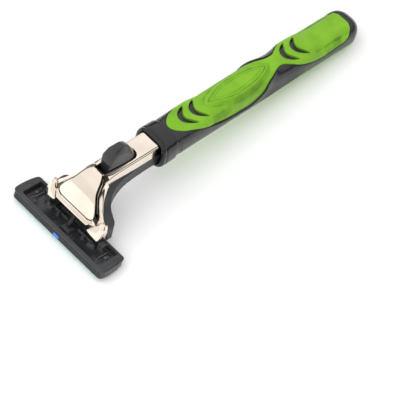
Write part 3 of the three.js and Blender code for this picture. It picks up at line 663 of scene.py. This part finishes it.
# ---------------------------------------------------------------- neck cover
# Down the middle of the cover from collar to lip: x and z, the half widths of the panel, of the
# bevel beside it and of the side wall, then the depths of the bevel and of the side wall's edge.
COVER = [
    (2.5, 4.8, 3.45, 3.92, 4.15, 0.45, 4.3), (-4, 4.8, 3.45, 3.92, 4.15, 0.45, 4.3),
    (-10, 4.8, 3.45, 3.92, 4.15, 0.45, 4.3), (-15, 4.8, 3.45, 3.92, 4.15, 0.45, 4.3),
    (-19, 4.8, 3.45, 3.95, 4.2, 0.50, 4.3), (-21.3, 4.8, 3.35, 4.0, 4.28, 0.65, 4.3),
    (-22.6, 4.95, 2.95, 4.08, 4.42, 1.1, 4.5), (-23.7, 5.35, 2.4, 4.2, 4.65, 1.5, 4.6),
    (-24.6, 5.6, 2.4, 4.3, 4.85, 1.8, 4.25), (-25.5, 5.2, 3.0, 4.4, 5.05, 1.8, 4.0),
    (-26.7, 4.1, 3.75, 4.65, 5.4, 1.7, 3.8), (-27.9, 2.75, 4.3, 5.1, 6.0, 1.7, 3.7),
    (-29.2, 0.9, 5.05, 5.8, 6.8, 1.65, 3.3), (-30.3, -1.3, 6.4, 7.1, 8.05, 1.65, 2.9),
    (-31.0, -3.2, 7.4, 8.25, 9.2, 1.6, 2.8), (-31.6, -4.9, 8.05, 9.2, 10.5, 1.6, 2.8),
    (-32.1, -6.3, 8.25, 9.7, 11.6, 1.5, 3.1), (-32.6, -7.5, 8.0, 9.7, 12.0, 1.7, 3.6),
    (-33.1, -8.2, 7.7, 9.9, 11.8, 2.2, 4.1), (-33.3, -8.6, 7.4, 9.95, 11.6, 2.4, 4.3),
    (-33.3, -8.95, 7.1, 9.9, 11.5, 2.4, 4.3), (-33.0, -9.25, 6.9, 9.7, 11.3, 2.2, 4.1),
    (-32.5, -9.35, 6.8, 9.5, 11.2, 1.8, 3.7),
]
PANEL_END = -7.2         # height of the panel's lower edge
PANEL_CORNER = 2.1
COVER_THICKNESS = 0.85
PANEL_COLUMNS, LEDGE_COLUMNS, WALL_COLUMNS = 24, 9, 11


def cover_path():
    """Stations down the cover: distance, position with measures, and inward direction."""
    table = np.array(COVER)
    step = np.hypot(np.diff(table[:, 0]), np.diff(table[:, 1]))
    s = np.concatenate([[0], np.cumsum(step)])
    fine = np.concatenate([np.arange(0, s[-8], 0.2), np.arange(s[-8], s[-4], 0.09),
                           np.linspace(s[-4], s[-1], 16)])
    rows = [(a, *line) for a, line in zip(s, table)]
    columns = np.stack([spline(rows, fine, k + 1) for k in range(7)], 1)
    dx, dz = np.gradient(columns[:, 0], fine), np.gradient(columns[:, 1], fine)
    inward = np.stack([-dz, dx], 1)
    low = np.clip((-7.5 - columns[:, 1]) / 2, 0, 1)[:, None]
    inward = inward * (1 - low) + np.array([[1.0, 0.0]]) * low
    inward /= np.linalg.norm(inward, axis=1)[:, None]
    return fine, columns, inward


def cover_section(panel, ledge, wall, ledge_depth, wall_depth):
    """Half section from the middle out: half width and depth of each point."""
    across = 1 - (1 - np.linspace(0, 1, PANEL_COLUMNS)) ** 1.7
    y = [*(panel * across), panel + 0.09, panel + 0.13]
    d = [*(0.12 * across**4), 0.19, 0.36]
    t = np.linspace(0, 1, LEDGE_COLUMNS)
    low = min(0.4, ledge_depth)
    y += [*(panel + 0.18 + (ledge - panel - 0.18) * t)]
    d += [*(low + (ledge_depth - low) * t)]
    y += [ledge + 0.08, ledge + 0.14]
    d += [ledge_depth + 0.08, ledge_depth + 0.24]
    t = np.linspace(0, 1, WALL_COLUMNS)[1:]
    y += [*(ledge + 0.14 + (wall - ledge - 0.14) * np.sin(t * math.pi / 2))]
    d += [*(ledge_depth + 0.24 + (wall_depth - ledge_depth - 0.24) * t)]
    return np.array(y), np.array(d)


def cover_surface(inset):
    """The cover's skin as a grid of points, and which of its cells take the dark plating that paints
    reflections and shade.
    """
    fine, columns, inward = cover_path()
    panel_s = np.interp(-PANEL_END, -columns[:, 1], fine)
    rows, dark_reflection_cells = [], []
    for s, line, direction in zip(fine, columns, inward):
        x, z, panel = line[0], line[1], line[2]
        y, d = cover_section(*line[2:])
        a, b = panel - y, panel_s - s
        corner = (a < PANEL_CORNER) & (b < PANEL_CORNER)
        rounded = PANEL_CORNER - np.hypot(PANEL_CORNER - a, PANEL_CORNER - b)
        inside = np.where(corner, rounded, np.minimum(a, b))
        on_front = (y < panel + 0.01) * (x < -24)
        d = d + on_front * (0.2 * np.exp(-(inside / 0.12) ** 2) - 0.25 * smoothstep(0.1, 0.5, -inside))
        lip = smoothstep(0.1, 0.5, s - panel_s)
        d = d - 0.25 * lip * (y >= panel + 0.01) * smoothstep(panel + 1.5, panel, y)
        if inset:
            ty, td = np.gradient(y), np.gradient(d)
            size = np.hypot(ty, td) + 1e-9
            y, d = np.maximum(y - inset * td / size, 0), d + inset * ty / size
            y[0] = 0
        full_y = np.concatenate([-y[:0:-1], y])
        full_d = np.concatenate([d[:0:-1], d])
        rows.append(np.stack([x + direction[0] * full_d, full_y, z + direction[1] * full_d], 1))
        cell = np.arange(len(y) - 1)
        step = (cell >= PANEL_COLUMNS - 1) & (cell < PANEL_COLUMNS + 2)
        ledge_end = PANEL_COLUMNS + 1 + LEDGE_COLUMNS
        bevel = (cell >= PANEL_COLUMNS - 1) & (cell < ledge_end) & (x < -22.3)
        crest = (cell >= ledge_end) & (cell < ledge_end + 2)
        wide = np.where(corner[:-1], 0.15, 0.1)
        crease = (np.abs(inside[:-1] + 0.02) < wide) & (y[:-1] < panel) & (x < -24)
        above = z > -6.2 - 0.16 * (cell - PANEL_COLUMNS)
        # Painted reflection and shade: the step, the bevel and the crest beside the panel, and a thin line
        # along the panel's crease, are marked for dark plating.
        dark = (step | bevel | (crest & (x > -24))) & above | crease
        dark_reflection_cells.append(np.concatenate([dark[::-1], dark]))
    return np.array(rows), np.array(dark_reflection_cells)


def paint_dark_reflection(obj, grid, dark_reflection_cells):
    """Gives the marked cells of the grid the second material, a dark plating that paints reflections and
    shade.
    """
    middles = (grid[:-1, :-1] + grid[1:, :-1] + grid[1:, 1:] + grid[:-1, 1:]) / 4
    flags = dark_reflection_cells[:-1].reshape(-1)
    tree = KDTree(len(flags))
    for i, point in enumerate(placed(middles, HANDLE)):
        tree.insert(point, i)
    tree.balance()
    for face in obj.data.polygons:
        _, i, distance = tree.find(face.center)
        face.material_index = int(flags[i] and distance < 0.25 * MM)


# One folded ear of the cover: its front corners, the fold across it, then its back corners.
EAR_FRONT = [
    (-33.35, 7.9, -10.6), (-33.5, 8.5, -11.6), (-33.3, 11.3, -12.25), (-33.0, 12.75, -12.4),
    (-32.4, 13.1, -11.4), (-31.4, 13.15, -9.4), (-30.8, 13.05, -8.0), (-30.4, 12.2, -6.9),
    (-31.3, 10.9, -6.9),
]
EAR_FOLD = [(-31.3, 12.0, -7.2), (-32.55, 11.3, -9.4), (-33.4, 11.0, -11.3)]
EAR_RIM = [
    (-32.0, 13.05, -12.2), (-31.2, 13.15, -10.4), (-30.5, 13.1, -8.4), (-29.9, 12.6, -6.7),
    (-31.0, 12.4, -13.2), (-29.4, 13.05, -12.7), (-28.9, 13.1, -10.4), (-28.8, 12.8, -8.0),
    (-28.9, 12.3, -6.7), (-29.6, 12.2, -13.2),
]


def build_ear(side):
    back = [(x + 1.1, y - 0.1, z + 0.2) for x, y, z in EAR_FRONT]
    corners = [(x, side * y, z) for x, y, z in EAR_FRONT + EAR_FOLD + back]
    petal = rounded_hull("ear", corners, 0.13, 3, angle=22)
    rim = rounded_hull("ear_rim", [(x, side * y, z) for x, y, z in EAR_RIM], 0.13, 3, angle=25)
    return join([petal, rim], "ear")


COVER_SLOT = [
    (-23.75, -2.2), (-12, -3.05), (-9.9, -2.9), (-8.8, -2.3), (-8.1, -1.3), (-7.9, 0), (-8.1, 1.3),
    (-8.8, 2.3), (-9.9, 2.9), (-12, 3.05), (-23.75, 2.2),
]


# The lip's lower edge rises towards the ears: what lies below this line is cut away (y, z).
LIP_TRIM = [
    (5.5, -9.3), (7.2, -9.2), (8.6, -9.0), (9.8, -8.75), (10.8, -8.45), (14, -8.0), (14, -14),
    (5.5, -14),
]


def build_cover():
    outer, dark_reflection_cells = cover_surface(0)
    points, faces = shell(outer, cover_surface(COVER_THICKNESS)[0])
    cover = make_piece("neck_cover_plating", points, faces, smooth_angle=55)
    trims = [prism([(side * y, z) for y, z in LIP_TRIM], "x", -40, -26.5) for side in (-1, 1)]
    combine(cover, [prism(COVER_SLOT, "z", 2.5, 7.5), *trims], "DIFFERENCE")
    cover = join([cover, build_ear(-1), build_ear(1)], "neck_cover_plating")
    shade(cover.data, 50)
    finish_piece(cover, "neck_cover", "handle", MATERIAL["chrome"])
    # The second material is a dark plating: it paints the dark reflections and the crease's shade onto the
    # marked cells.
    cover.data.materials.append(plated("painted_reflection_chrome", srgb(46, 40, 34), srgb(62, 54, 46)))
    paint_dark_reflection(cover, outer, dark_reflection_cells)
    return cover


# ---------------------------------------------------------------- neck base
def smooth_outline(points, step=0.5):
    """A rounder run of points through some given ones."""
    table = np.array(points, float)
    s = np.concatenate([[0], np.cumsum(np.hypot(*np.diff(table, axis=0).T))])
    fine = np.linspace(0, s[-1], max(8, int(s[-1] / step)))
    rows = [(a, *p) for a, p in zip(s, table)]
    return list(zip(spline(rows, fine, 1), spline(rows, fine, 2)))


BASE_TOP = [
    (2.2, 0.35), (-8, 0.35), (-14, 0.35), (-18, 0.35), (-21, 0.4), (-22.6, 0.2), (-23.8, -0.3),
    (-25.0, -1.1), (-26.3, -2.3), (-27.5, -4.0), (-28.4, -5.6), (-29.0, -7.4), (-29.1, -9.4),
    (-28.9, -11.6), (-28.5, -13.6), (-28.1, -15.1),
]
BASE_UNDER = [
    (-23.3, -15.1), (-22.7, -13.2), (-22.0, -11.2), (-21.0, -9.2), (-19.6, -7.2), (-17.9, -5.8),
    (-15.6, -4.95), (-12, -4.5), (-6, -4.5), (2.2, -4.7),
]
BASE_PLAN = [
    (2.2, 4.1), (-4, 4.12), (-10, 4.35), (-14, 4.6), (-17.5, 5.05), (-20.4, 5.75), (-22.3, 6.7),
    (-23.7, 8.2), (-24.6, 10.5), (-25.2, 12.3), (-26, 13.0), (-30, 13.0),
]
BASE_FRONT = [
    (4.25, 1), (4.3, 0.3), (5.0, -0.2), (5.9, -1.4), (6.8, -3.2), (8.2, -5.2), (10.2, -6.9),
    (11.7, -7.8), (12.6, -8.6), (13.0, -9.8),
]
BASE_POCKET = [
    (-31, -17), (-30, -9), (-27.6, -6.6), (-25.4, -5.4), (-24.1, -6.4), (-23.5, -9), (-24.4, -12.4),
    (-25.0, -17),
]
ARM_ROOM = [
    (3, 2), (3, -1.3), (-25.2, -1.4), (-26.5, -4.2), (-27.4, -7.7), (-27.8, -10.4), (-27.8, -18),
    (-31, -18), (-31, 2),
]
BASE_WALL = 1.0


def two_way_body(side, plan, front, inset, name):
    """The body that three outlines share, each shrunk sideways by the inset."""
    plan_loop = [*[(x, w - inset) for x, w in plan], *[(x, inset - w) for x, w in plan[::-1]]]
    half = [(y - inset, z) for y, z in front]
    front_loop = [*half, (half[-1][0], -18), (-half[-1][0], -18), *[(-y, z) for y, z in half[::-1]]]
    body = prism(side, "y", -14, 14, name=name)
    return combine(body, [prism(plan_loop, "z", -20, 6), prism(front_loop, "x", -40, 10)], "INTERSECT")


def build_base():
    plan, front = smooth_outline(BASE_PLAN), smooth_outline(BASE_FRONT)
    side = [*smooth_outline(BASE_TOP), *smooth_outline(BASE_UNDER)]
    base = two_way_body(side, plan, front, 0, "neck_base_body")
    room = two_way_body(ARM_ROOM, plan, [(4.25, 5), *front[1:]], BASE_WALL, "room")
    pocket = two_way_body(BASE_POCKET, plan, front, BASE_WALL, "pocket")
    cutters = [pocket, room]
    scoop = [(-2.2, -6), (-2.4, -4.3), (-3.2, -3.7), (-5.2, -3.7), (-6.6, -4.6), (-6.8, -6)]
    cutters.append(prism(smooth_outline(scoop, 0.3), "y", -3.2, 3.2))
    combine(base, cutters, "DIFFERENCE")
    guide = plunger_box()
    base = join([base, guide], "neck_base_body")
    moulding(base, 0.2, 6)
    bore = plunger_rod(1.15, -5.0, 9.0)
    combine(base, [bore], "DIFFERENCE")
    shade(base.data, 60)
    return finish_piece(base, "neck_base", "handle", MATERIAL["base"])


PLUNGER_LEAN = math.atan2(0.6, 0.8)
PLUNGER_FRAME = (HANDLE @ Matrix.Translation((-26.2, 0, -7.6)) @ Matrix.Rotation(PLUNGER_LEAN, 4, "Y")
                 @ Matrix.Rotation(math.pi, 4, "X"))


def plunger_rod(radius, t0, t1):
    return disc(0, 0, radius, t0, t1, PLUNGER_FRAME)


def plunger_box():
    return block(-1.9, 1.9, -2.1, 2.1, -5.6, 3.2, PLUNGER_FRAME, "guide")


# ---------------------------------------------------------------- release button
BUTTON = [
    (-21.5, 1.9, 4.3), (-21.5, 1.75, 7.7), (-20.85, 2.4, 9.4), (-19.4, 1.6, 12.5), (-17.8, 1.2, 13.1),
    (-15.5, 1.2, 13.0), (-13.6, 1.2, 12.0), (-12.1, 1.0, 10.4), (-10.8, 0.7, 8.6), (-9.6, 0.5, 6.8),
    (-18.5, 2.3, 11.2), (-16.0, 2.4, 10.7), (-13.9, 2.35, 9.4), (-12.4, 2.3, 7.8), (-10.8, 2.2, 6.3),
    (-19.4, 2.1, 4.3), (-19.2, 2.45, 8.0), (-17, 2.35, 4.3), (-17, 2.6, 6.4), (-12.3, 2.65, 4.3),
    (-12.3, 2.7, 5.6), (-10.4, 2.55, 4.3), (-10.5, 2.4, 5.2), (-9.2, 1.9, 4.3), (-9.4, 1.7, 5.1),
    (-8.5, 1.0, 4.3), (-8.7, 0.8, 5.0), (-8.25, 0.0, 4.3), (-8.5, 0.0, 5.0),
]


def build_button():
    corners = [(x, side * y, z) for x, y, z in BUTTON for side in (-1, 1)]
    button = rounded_hull("release_button_cap", corners, 0.13, 3)
    stems = [block(x0, x1, -1.5, 1.5, 1.35, 4.6, name="stem") for x0, x1 in ((-21, -19), (-10.5, -8.7))]
    button = join([button, *stems], "release_button_cap")
    shade(button.data, 30)
    return finish_piece(button, "release_button", "release", MATERIAL["button"])


# ---------------------------------------------------------------- cartridge
TRAY_END = [
    (5.65, 20.5), (5.4, 21.0), (4.7, 21.35), (2.5, 21.8), (0, 22.0), (-2.4, 22.05), (-4.0, 21.95),
    (-4.9, 21.7), (-5.4, 21.25), (-5.65, 20.5),
]


MARK_Z = -1.0                               # height of the blue mark's middle
PIVOT = (3.413, 0.927)                      # the pivot's axis, as x and z
POST_X, POST_YS = -2.2, (-14.6, -3.3, 3.3, 14.6)


def tray_outline(shrink):
    half_x, half_y = TRAY_END[0][0], max(y for _, y in TRAY_END)
    scale_x, scale_y = (half_x - shrink) / half_x, (half_y - shrink) / half_y
    end = [(x * scale_x, y * scale_y) for x, y in TRAY_END]
    return [*end, *[(x, -y) for x, y in end[::-1]]]


def rounded_box_plan(x0, x1, half, radius, count=6):
    points = []
    for cx, cy, start in ((x1 - radius, half - radius, 0), (x0 + radius, half - radius, 90),
                          (x0 + radius, -half + radius, 180), (x1 - radius, -half + radius, 270)):
        for a in np.linspace(start, start + 90, count):
            points.append((cx + radius * math.cos(math.radians(a)), cy + radius * math.sin(math.radians(a))))
    return points


def tint_faces(obj, material, inside):
    """Gives another copy of the plastic, darker for painted shade on the front and lighter for painted
    highlights in the recess, to the faces whose middles, in the cartridge's frame, are inside.
    """
    obj.data.materials.append(material)
    local = CARTRIDGE.inverted()
    for face in obj.data.polygons:
        if inside(*(local @ face.center)):
            face.material_index = len(obj.data.materials) - 1


def build_tray():
    c = CARTRIDGE
    levels = [(-2.05, 0.4), (-1.95, 0.2), (-1.7, 0.12), (0.85, 0.2), (1.0, 0.14), (1.1, 0.0),
              (1.35, -0.06), (1.65, 0.05), (1.9, 0.26), (2.1, 0.58), (2.2, 1.0)]
    guard = [(2.9, -6), (2.9, -1.35), (3.9, -1.35), (4.25, -1.98), (4.5, -2.0), (5.65, -1.76), (7, -1.46),
             (7, -6)]
    rings = [[(x, y, z) for x, y in tray_outline(shrink)] for z, shrink in levels]
    tray = tube_piece("cartridge_body", rings, c)
    cutters = [
        prism(rounded_box_plan(-4.3, 4.4, 18.5, 0.7), "z", -0.35, 4, c),
        prism(rounded_box_plan(-4.5, 4.6, 18.7, 0.8), "z", 1.8, 4, c),
        prism(rounded_box_plan(-5.2, 3.95, 19.5, 0.4), "z", -6, -0.95, c),
        prism(guard, "y", -30, 30, c),
    ]
    for y in (-13.2, -6.2, 0, 6.2, 13.2):
        cutters.append(prism([(x, y + v) for x, v in rounded_box_plan(3.3, 4.0, 2.2, 0.3)], "z", -6, 6, c))
    for y in (-16.1, 16.1):
        cutters.append(block(1.4, 3.6, y - 0.7, y + 0.7, -3, 3, c))
    for i in range(17):
        y = -19 + i * 2.375
        if abs(y) > 1.9:
            cutters.append(disc(y, -0.35, 0.34, -6.2, -5.4, c, 16, "x"))
            if i % 2:
                cutters.append(disc(y + 0.6, 0.95, 0.2, -6.2, -5.5, c, 12, "x"))
    for y in (-20.2, 20.2):
        cutters.append(block(-6, 6, y - 0.14, y + 0.14, 1.95, 3, c))
    mark_seat = [(y, z + MARK_Z) for y, z in rounded_box_plan(-1.45, 1.45, 0.7, 0.45)]
    cutters.append(prism(mark_seat, "x", -6.2, -5.42, c))
    combine(tray, cutters, "DIFFERENCE")
    parts = [tray]
    for side in (-1, 1):
        a, b = sorted((side * 11.7, side * 13.9))
        parts.append(block(2.1, 4.6, a, b, -0.6, 1.9, c, "journal"))
        parts.append(disc(*PIVOT, 1.32, a, b, c, 32, "y", "journal"))
        parts.append(block(-0.1, 1.2, side * 9.6 - 0.8, side * 9.6 + 0.8, -0.6, 0.5, c, "rest"))
        parts.append(block(-4.5, -3.2, side * 9.0 - 1.6, side * 9.0 + 1.6, -0.6, 0.35, c, "rest"))
        parts.append(block(-3.9, 3.9, side * 17.5 - 0.2, side * 17.5 + 0.2, -0.6, 0.2, c, "rib"))
        for y in (3.3, 14.6):
            parts.append(disc(POST_X, side * y, 1.35, -0.6, -0.1, c, 32, "z", "boss"))
    for y in (-16.9, -10.9, -6.1, 6.1, 10.9, 16.9):
        parts.append(disc(0.9, y, 0.62, -0.6, 0.75, c, 24, "z", "peg"))
        parts.append(block(-4.5, -3.6, y - 0.9, y + 0.9, -0.6, 0.95, c, "clip"))
    for side in (-1, 1):
        parts.append(block(1.9, 2.3, side * 6.2 - 3.6, side * 6.2 + 3.6, -0.6, 0.35, c, "rib"))
        parts.append(block(-1.2, 2.9, side * 15.6 - 0.25, side * 15.6 + 0.25, -0.6, 0.7, c, "rib"))
    parts.append(block(-1.6, 1.2, -1.8, 1.8, -0.6, 0.1, c, "pad"))
    parts.append(block(-4.5, -3.3, -2.4, 2.4, -0.6, 0.7, c, "clip"))
    tray = join(parts, "cartridge_body")
    moulding(tray, 0.14, 4)
    for side in (-1, 1):
        a, b = sorted((side * 11.0, side * 14.6))
        combine(tray, [disc(*PIVOT, 0.8, a, b, c, 32, "y")], "DIFFERENCE")
    shade(tray.data, 60)
    finish_piece(tray, "cartridge_tray", "cartridge", MATERIAL["cartridge"])
    # Painted shade: the front face below the ridge takes a darker copy of the plastic; its rougher gloss
    # stands for the real dimpled texture.
    tint_faces(tray, moulded("textured_front_painted_shade", srgb(24, 25, 27), srgb(34, 35, 37), (0.5, 0.65)),
               lambda x, y, z: x < -4.9 and -1.95 < z < 1.02 and abs(y) < 20.9)
    # Painted highlights: the details in the recess take a lighter copy of the plastic, with a glossier
    # finish.
    tint_faces(tray, moulded("glossy_details_painted_highlight", srgb(66, 67, 70), srgb(84, 85, 88), (0.15, 0.25)),
               lambda x, y, z: abs(x) < 4.15 and abs(y) < 18.2 and -0.25 < z < 2.4)
    return tray


STACK_HALF = 19.2        # half the length of the blades


def build_blade(name, node, back, edge, z0, z1):
    """A thin strip with a ground double-bevel edge and flat ends, pierced by the holes for the posts."""
    middle = (z0 + z1) / 2
    profile = [(back, z0), (edge - 1.05, z0), (edge - 0.35, z0 + 0.02), (edge, middle + 0.02), (edge, middle),
               (edge - 0.3, z1 - 0.02), (edge - 0.9, z1), (back, z1)]
    rings = [[(x, y, z) for x, z in profile] for y in np.linspace(-STACK_HALF, STACK_HALF, 25)]
    blade = tube_piece(name, rings, CARTRIDGE, smooth_angle=5)
    holes = [disc(POST_X, y, 0.7, -3, 1, CARTRIDGE, 24) for y in POST_YS]
    combine(blade, holes, "DIFFERENCE")
    shade(blade.data, 5)
    return finish_piece(blade, node, "cartridge", MATERIAL["blade"])


def scallop(y):
    return -1.8 - 0.42 * math.cos(2 * math.pi * y / 6.6)


def build_cap():
    """The cap over the blades: a crowned bar with a waved edge, and its four staked posts."""
    ys = np.linspace(-19.35, 19.35, 156)
    rings = []
    for y in ys:
        edge = scallop(y)
        end = min(1.0, (19.35 - abs(y)) / 0.5)
        drop = 0.2 * (1 - math.sqrt(max(0.0, 1 - (1 - end) ** 2)))
        profile = [(-5.12, -1.1), (-5.12, -1.95), (-4.95, -2.1), (-2.6, -2.12), (-2.45, -2.14),
                   (-2.4, -2.36), (-2.25, -2.42), (edge - 0.35, -2.4), (edge - 0.1, -2.3), (edge, -2.12),
                   (edge - 0.02, -1.95), (edge - 0.12, -1.9), (-3.45, -1.9), (-3.5, -1.1)]
        rings.append([(x, y, z + (drop if z < -2 else 0)) for x, z in profile])
    cap = tube_piece("cartridge_cap_bar", rings, CARTRIDGE, smooth_angle=45)
    heads = []
    head = [(0.9, -0.05), (0.96, 0.05), (0.92, 0.2), (0.74, 0.32), (0.45, 0.36), (0.3, 0.3), (0.12, 0.24)]
    for y in POST_YS:
        heads.append(disc(POST_X, y, 0.5, -1.95, 0.1, CARTRIDGE, 24, "z", "post"))
        heads.append(tube_piece("head", lathe(head, 32, POST_X, y), CARTRIDGE))
    cap = join([cap, *heads], "cartridge_cap_bar")
    shade(cap.data, 45)
    return finish_piece(cap, "cartridge_cap", "cartridge", MATERIAL["cartridge"])


def build_strip():
    """The lubricating strip: a crowned wax bar with rounded ends and fine lengthwise lines."""
    end_ys = 19.25 - 0.6 * np.linspace(1, 0, 8) ** 2
    ys = np.concatenate([-end_ys[::-1], np.linspace(-18.5, 18.5, 60), end_ys])
    rings = []
    for y in ys:
        end = min(1.0, (19.25 - abs(y)) / 0.6)
        rise = math.sqrt(max(0.0, 1 - (1 - end) ** 2))
        t = np.linspace(0, 1, 19)
        top = -2.2 - rise * (0.22 + 0.1 * np.sin(t * math.pi) + 0.012 * np.cos(t * 2 * math.pi * 6))
        profile = [(-5.08 + 2.5 * a, b) for a, b in zip(t, top)]
        rings.append([*[(x, y, z) for x, z in profile], (-2.58, y, -2.15), (-5.08, y, -2.15)])
    strip = tube_piece("lubricating_strip_bar", rings, CARTRIDGE, smooth_angle=50)
    return finish_piece(strip, "lubricating_strip", "cartridge", MATERIAL["strip"])


def build_mark():
    rings = []
    for inset, x in ((0.0, -5.35), (0.0, -5.55), (0.06, -5.63), (0.2, -5.66)):
        plan = rounded_box_plan(-1.3 + inset, 1.3 - inset, 0.55 - inset, 0.3 - inset / 3)
        rings.append([(x, y, z + MARK_Z) for y, z in plan])
    mark = tube_piece("index_mark_insert", rings, CARTRIDGE)
    return finish_piece(mark, "index_mark", "cartridge", MATERIAL["mark"])


# ---------------------------------------------------------------- plunger
def build_plunger():
    nose = [(0.95 * math.cos(a), 11.05 + 0.95 * math.sin(a)) for a in np.linspace(0, math.pi / 2, 9)[:-1]]
    profile = [(0.65, 6.0), (0.65, 0.3), (0.72, 0.2), (0.88, 0.2), (0.95, 0.28), (0.95, 8.9), (0.88, 9.0),
               (0.88, 9.25), (0.95, 9.35), *nose, (0.02, 12.0)]
    plunger = tube_piece("plunger_pin", lathe(profile, 40), PLUNGER_FRAME)
    return finish_piece(plunger, "plunger", "plunger", MATERIAL["mechanism"])


# ---------------------------------------------------------------- stage, light and camera
def build_stage():
    bpy.ops.mesh.primitive_plane_add(size=6, location=(0, 0, -0.0001))
    floor = bpy.context.object
    floor.name = "floor"
    m = Nodes("pale_floor")
    tones = [(0.3, (0.93, 0.93, 0.93)), (0.7, (0.95, 0.95, 0.95))]
    m.link(m.ramp(m.noise(3, 2), tones), m.shader.inputs["Base Color"])
    m.shader.inputs["Roughness"].default_value = 0.9
    floor.data.materials.append(m.material)


def soft_box(name, location, target, size, power):
    light = bpy.data.lights.new(name, "AREA")
    light.shape = "RECTANGLE"
    light.size, light.size_y = size
    light.energy = power
    lamp = add_object(name, light)
    lamp.visible_glossy = False
    lamp.location = location
    lamp.rotation_euler = (Vector(target) - Vector(location)).to_track_quat("-Z", "Y").to_euler()


def build_light():
    world = bpy.data.worlds.new("studio")
    bpy.context.scene.world = world
    world.use_nodes = True
    tree = world.node_tree
    background = tree.nodes["Background"]
    coords = tree.nodes.new("ShaderNodeTexCoord")
    split = tree.nodes.new("ShaderNodeSeparateXYZ")
    tree.links.new(coords.outputs["Generated"], split.inputs[0])

    def ramped(source, stops):
        """Brightness along one axis of the sky, from its negative end to its positive one."""
        span = tree.nodes.new("ShaderNodeMapRange")
        span.inputs["From Min"].default_value = -1
        span.inputs["From Max"].default_value = 1
        tree.links.new(source, span.inputs["Value"])
        ramp = tree.nodes.new("ShaderNodeValToRGB")
        set_stops(ramp, [(place, (value,) * 3) for place, value in stops])
        tree.links.new(span.outputs["Result"], ramp.inputs["Fac"])
        return ramp.outputs["Color"]

    height_stops = [(0.44, 0.9), (0.5, 0.04), (0.60, 0.06), (0.70, 0.95), (1.0, 1.0)]
    height = ramped(split.outputs["Z"], height_stops)
    front = ramped(split.outputs["X"], [(0.22, 0.88), (0.36, 0.0)])
    brightest = tree.nodes.new("ShaderNodeMix")
    brightest.data_type = "RGBA"
    brightest.blend_type = "LIGHTEN"
    brightest.inputs["Factor"].default_value = 1.0
    tree.links.new(height, brightest.inputs["A"])
    tree.links.new(front, brightest.inputs["B"])
    tree.links.new(brightest.outputs["Result"], background.inputs["Color"])
    background.inputs["Strength"].default_value = 1.08
    soft_box("key", (-0.35, 0.15, 0.6), (0, 0, 0), (0.8, 0.8), 2.4)
    soft_box("fill", (0.2, -0.5, 0.35), (0, 0, 0), (0.4, 0.25), 0.1)


# The camera's place, in the handle's frame: what it looks at (mm), from where (degrees, mm), and
# its lens (mm).
AIM = (15.829, -19.664, -24.664)
AZIMUTH, ELEVATION, ROLL = -56.9547, 50.0104, 16.6108
DISTANCE = 900.0
LENS, SENSOR = 228.360, 36


def build_camera():
    """A long lens that looks straight at the aim point."""
    a, e, r = (math.radians(angle) for angle in (AZIMUTH, ELEVATION, ROLL))
    back = Vector((math.sin(a) * math.cos(e), -math.cos(a) * math.cos(e), math.sin(e)))
    level = Vector((math.cos(a), math.sin(a), 0))
    above = back.cross(level)
    right = math.cos(r) * level + math.sin(r) * above
    up = math.cos(r) * above - math.sin(r) * level
    axes = Matrix((right, up, back)).transposed()
    place = Matrix.Translation(Vector(AIM) + DISTANCE * back)
    location, rotation, _ = (HANDLE @ place @ axes.to_4x4()).decompose()
    data = bpy.data.cameras.new("camera")
    data.sensor_width = SENSOR
    data.lens = LENS
    data.clip_end = 20
    camera = add_object("camera", data)
    camera.location = location
    camera.rotation_mode = "QUATERNION"
    camera.rotation_quaternion = rotation
    bpy.context.scene.camera = camera


def dress(node, slot):
    """A CAD solid that stays as it is takes its slot's material."""
    obj = frame["nodes"][node]
    obj.data.materials.clear()
    obj.data.materials.append(MATERIAL[slot])


build_camera()
build_light()
build_stage()
build_core()
build_tail_boss()
build_thumb_grip()
build_back_grip()
build_collar()
build_cover()
build_base()
build_button()
build_plunger()
build_tray()
build_blade("first_blade_strip", "first_blade", -3.3, 3.25, -1.2, -1.05)
build_blade("second_blade_strip", "second_blade", -3.3, 2.4, -1.8, -1.65)
build_cap()
build_strip()
build_mark()
KEPT = ("pusher_plate", "button_spring", "left_bearing_arm", "right_bearing_arm", "plunger_spring",
        "blade_spacer")
SLOT_OF = {row["node"]: row["material_slot"] for row in frame["record"]["subparts"]}
for node_name in KEPT:
    dress(node_name, SLOT_OF[node_name])

bpy.context.scene.view_settings.view_transform = "Standard"
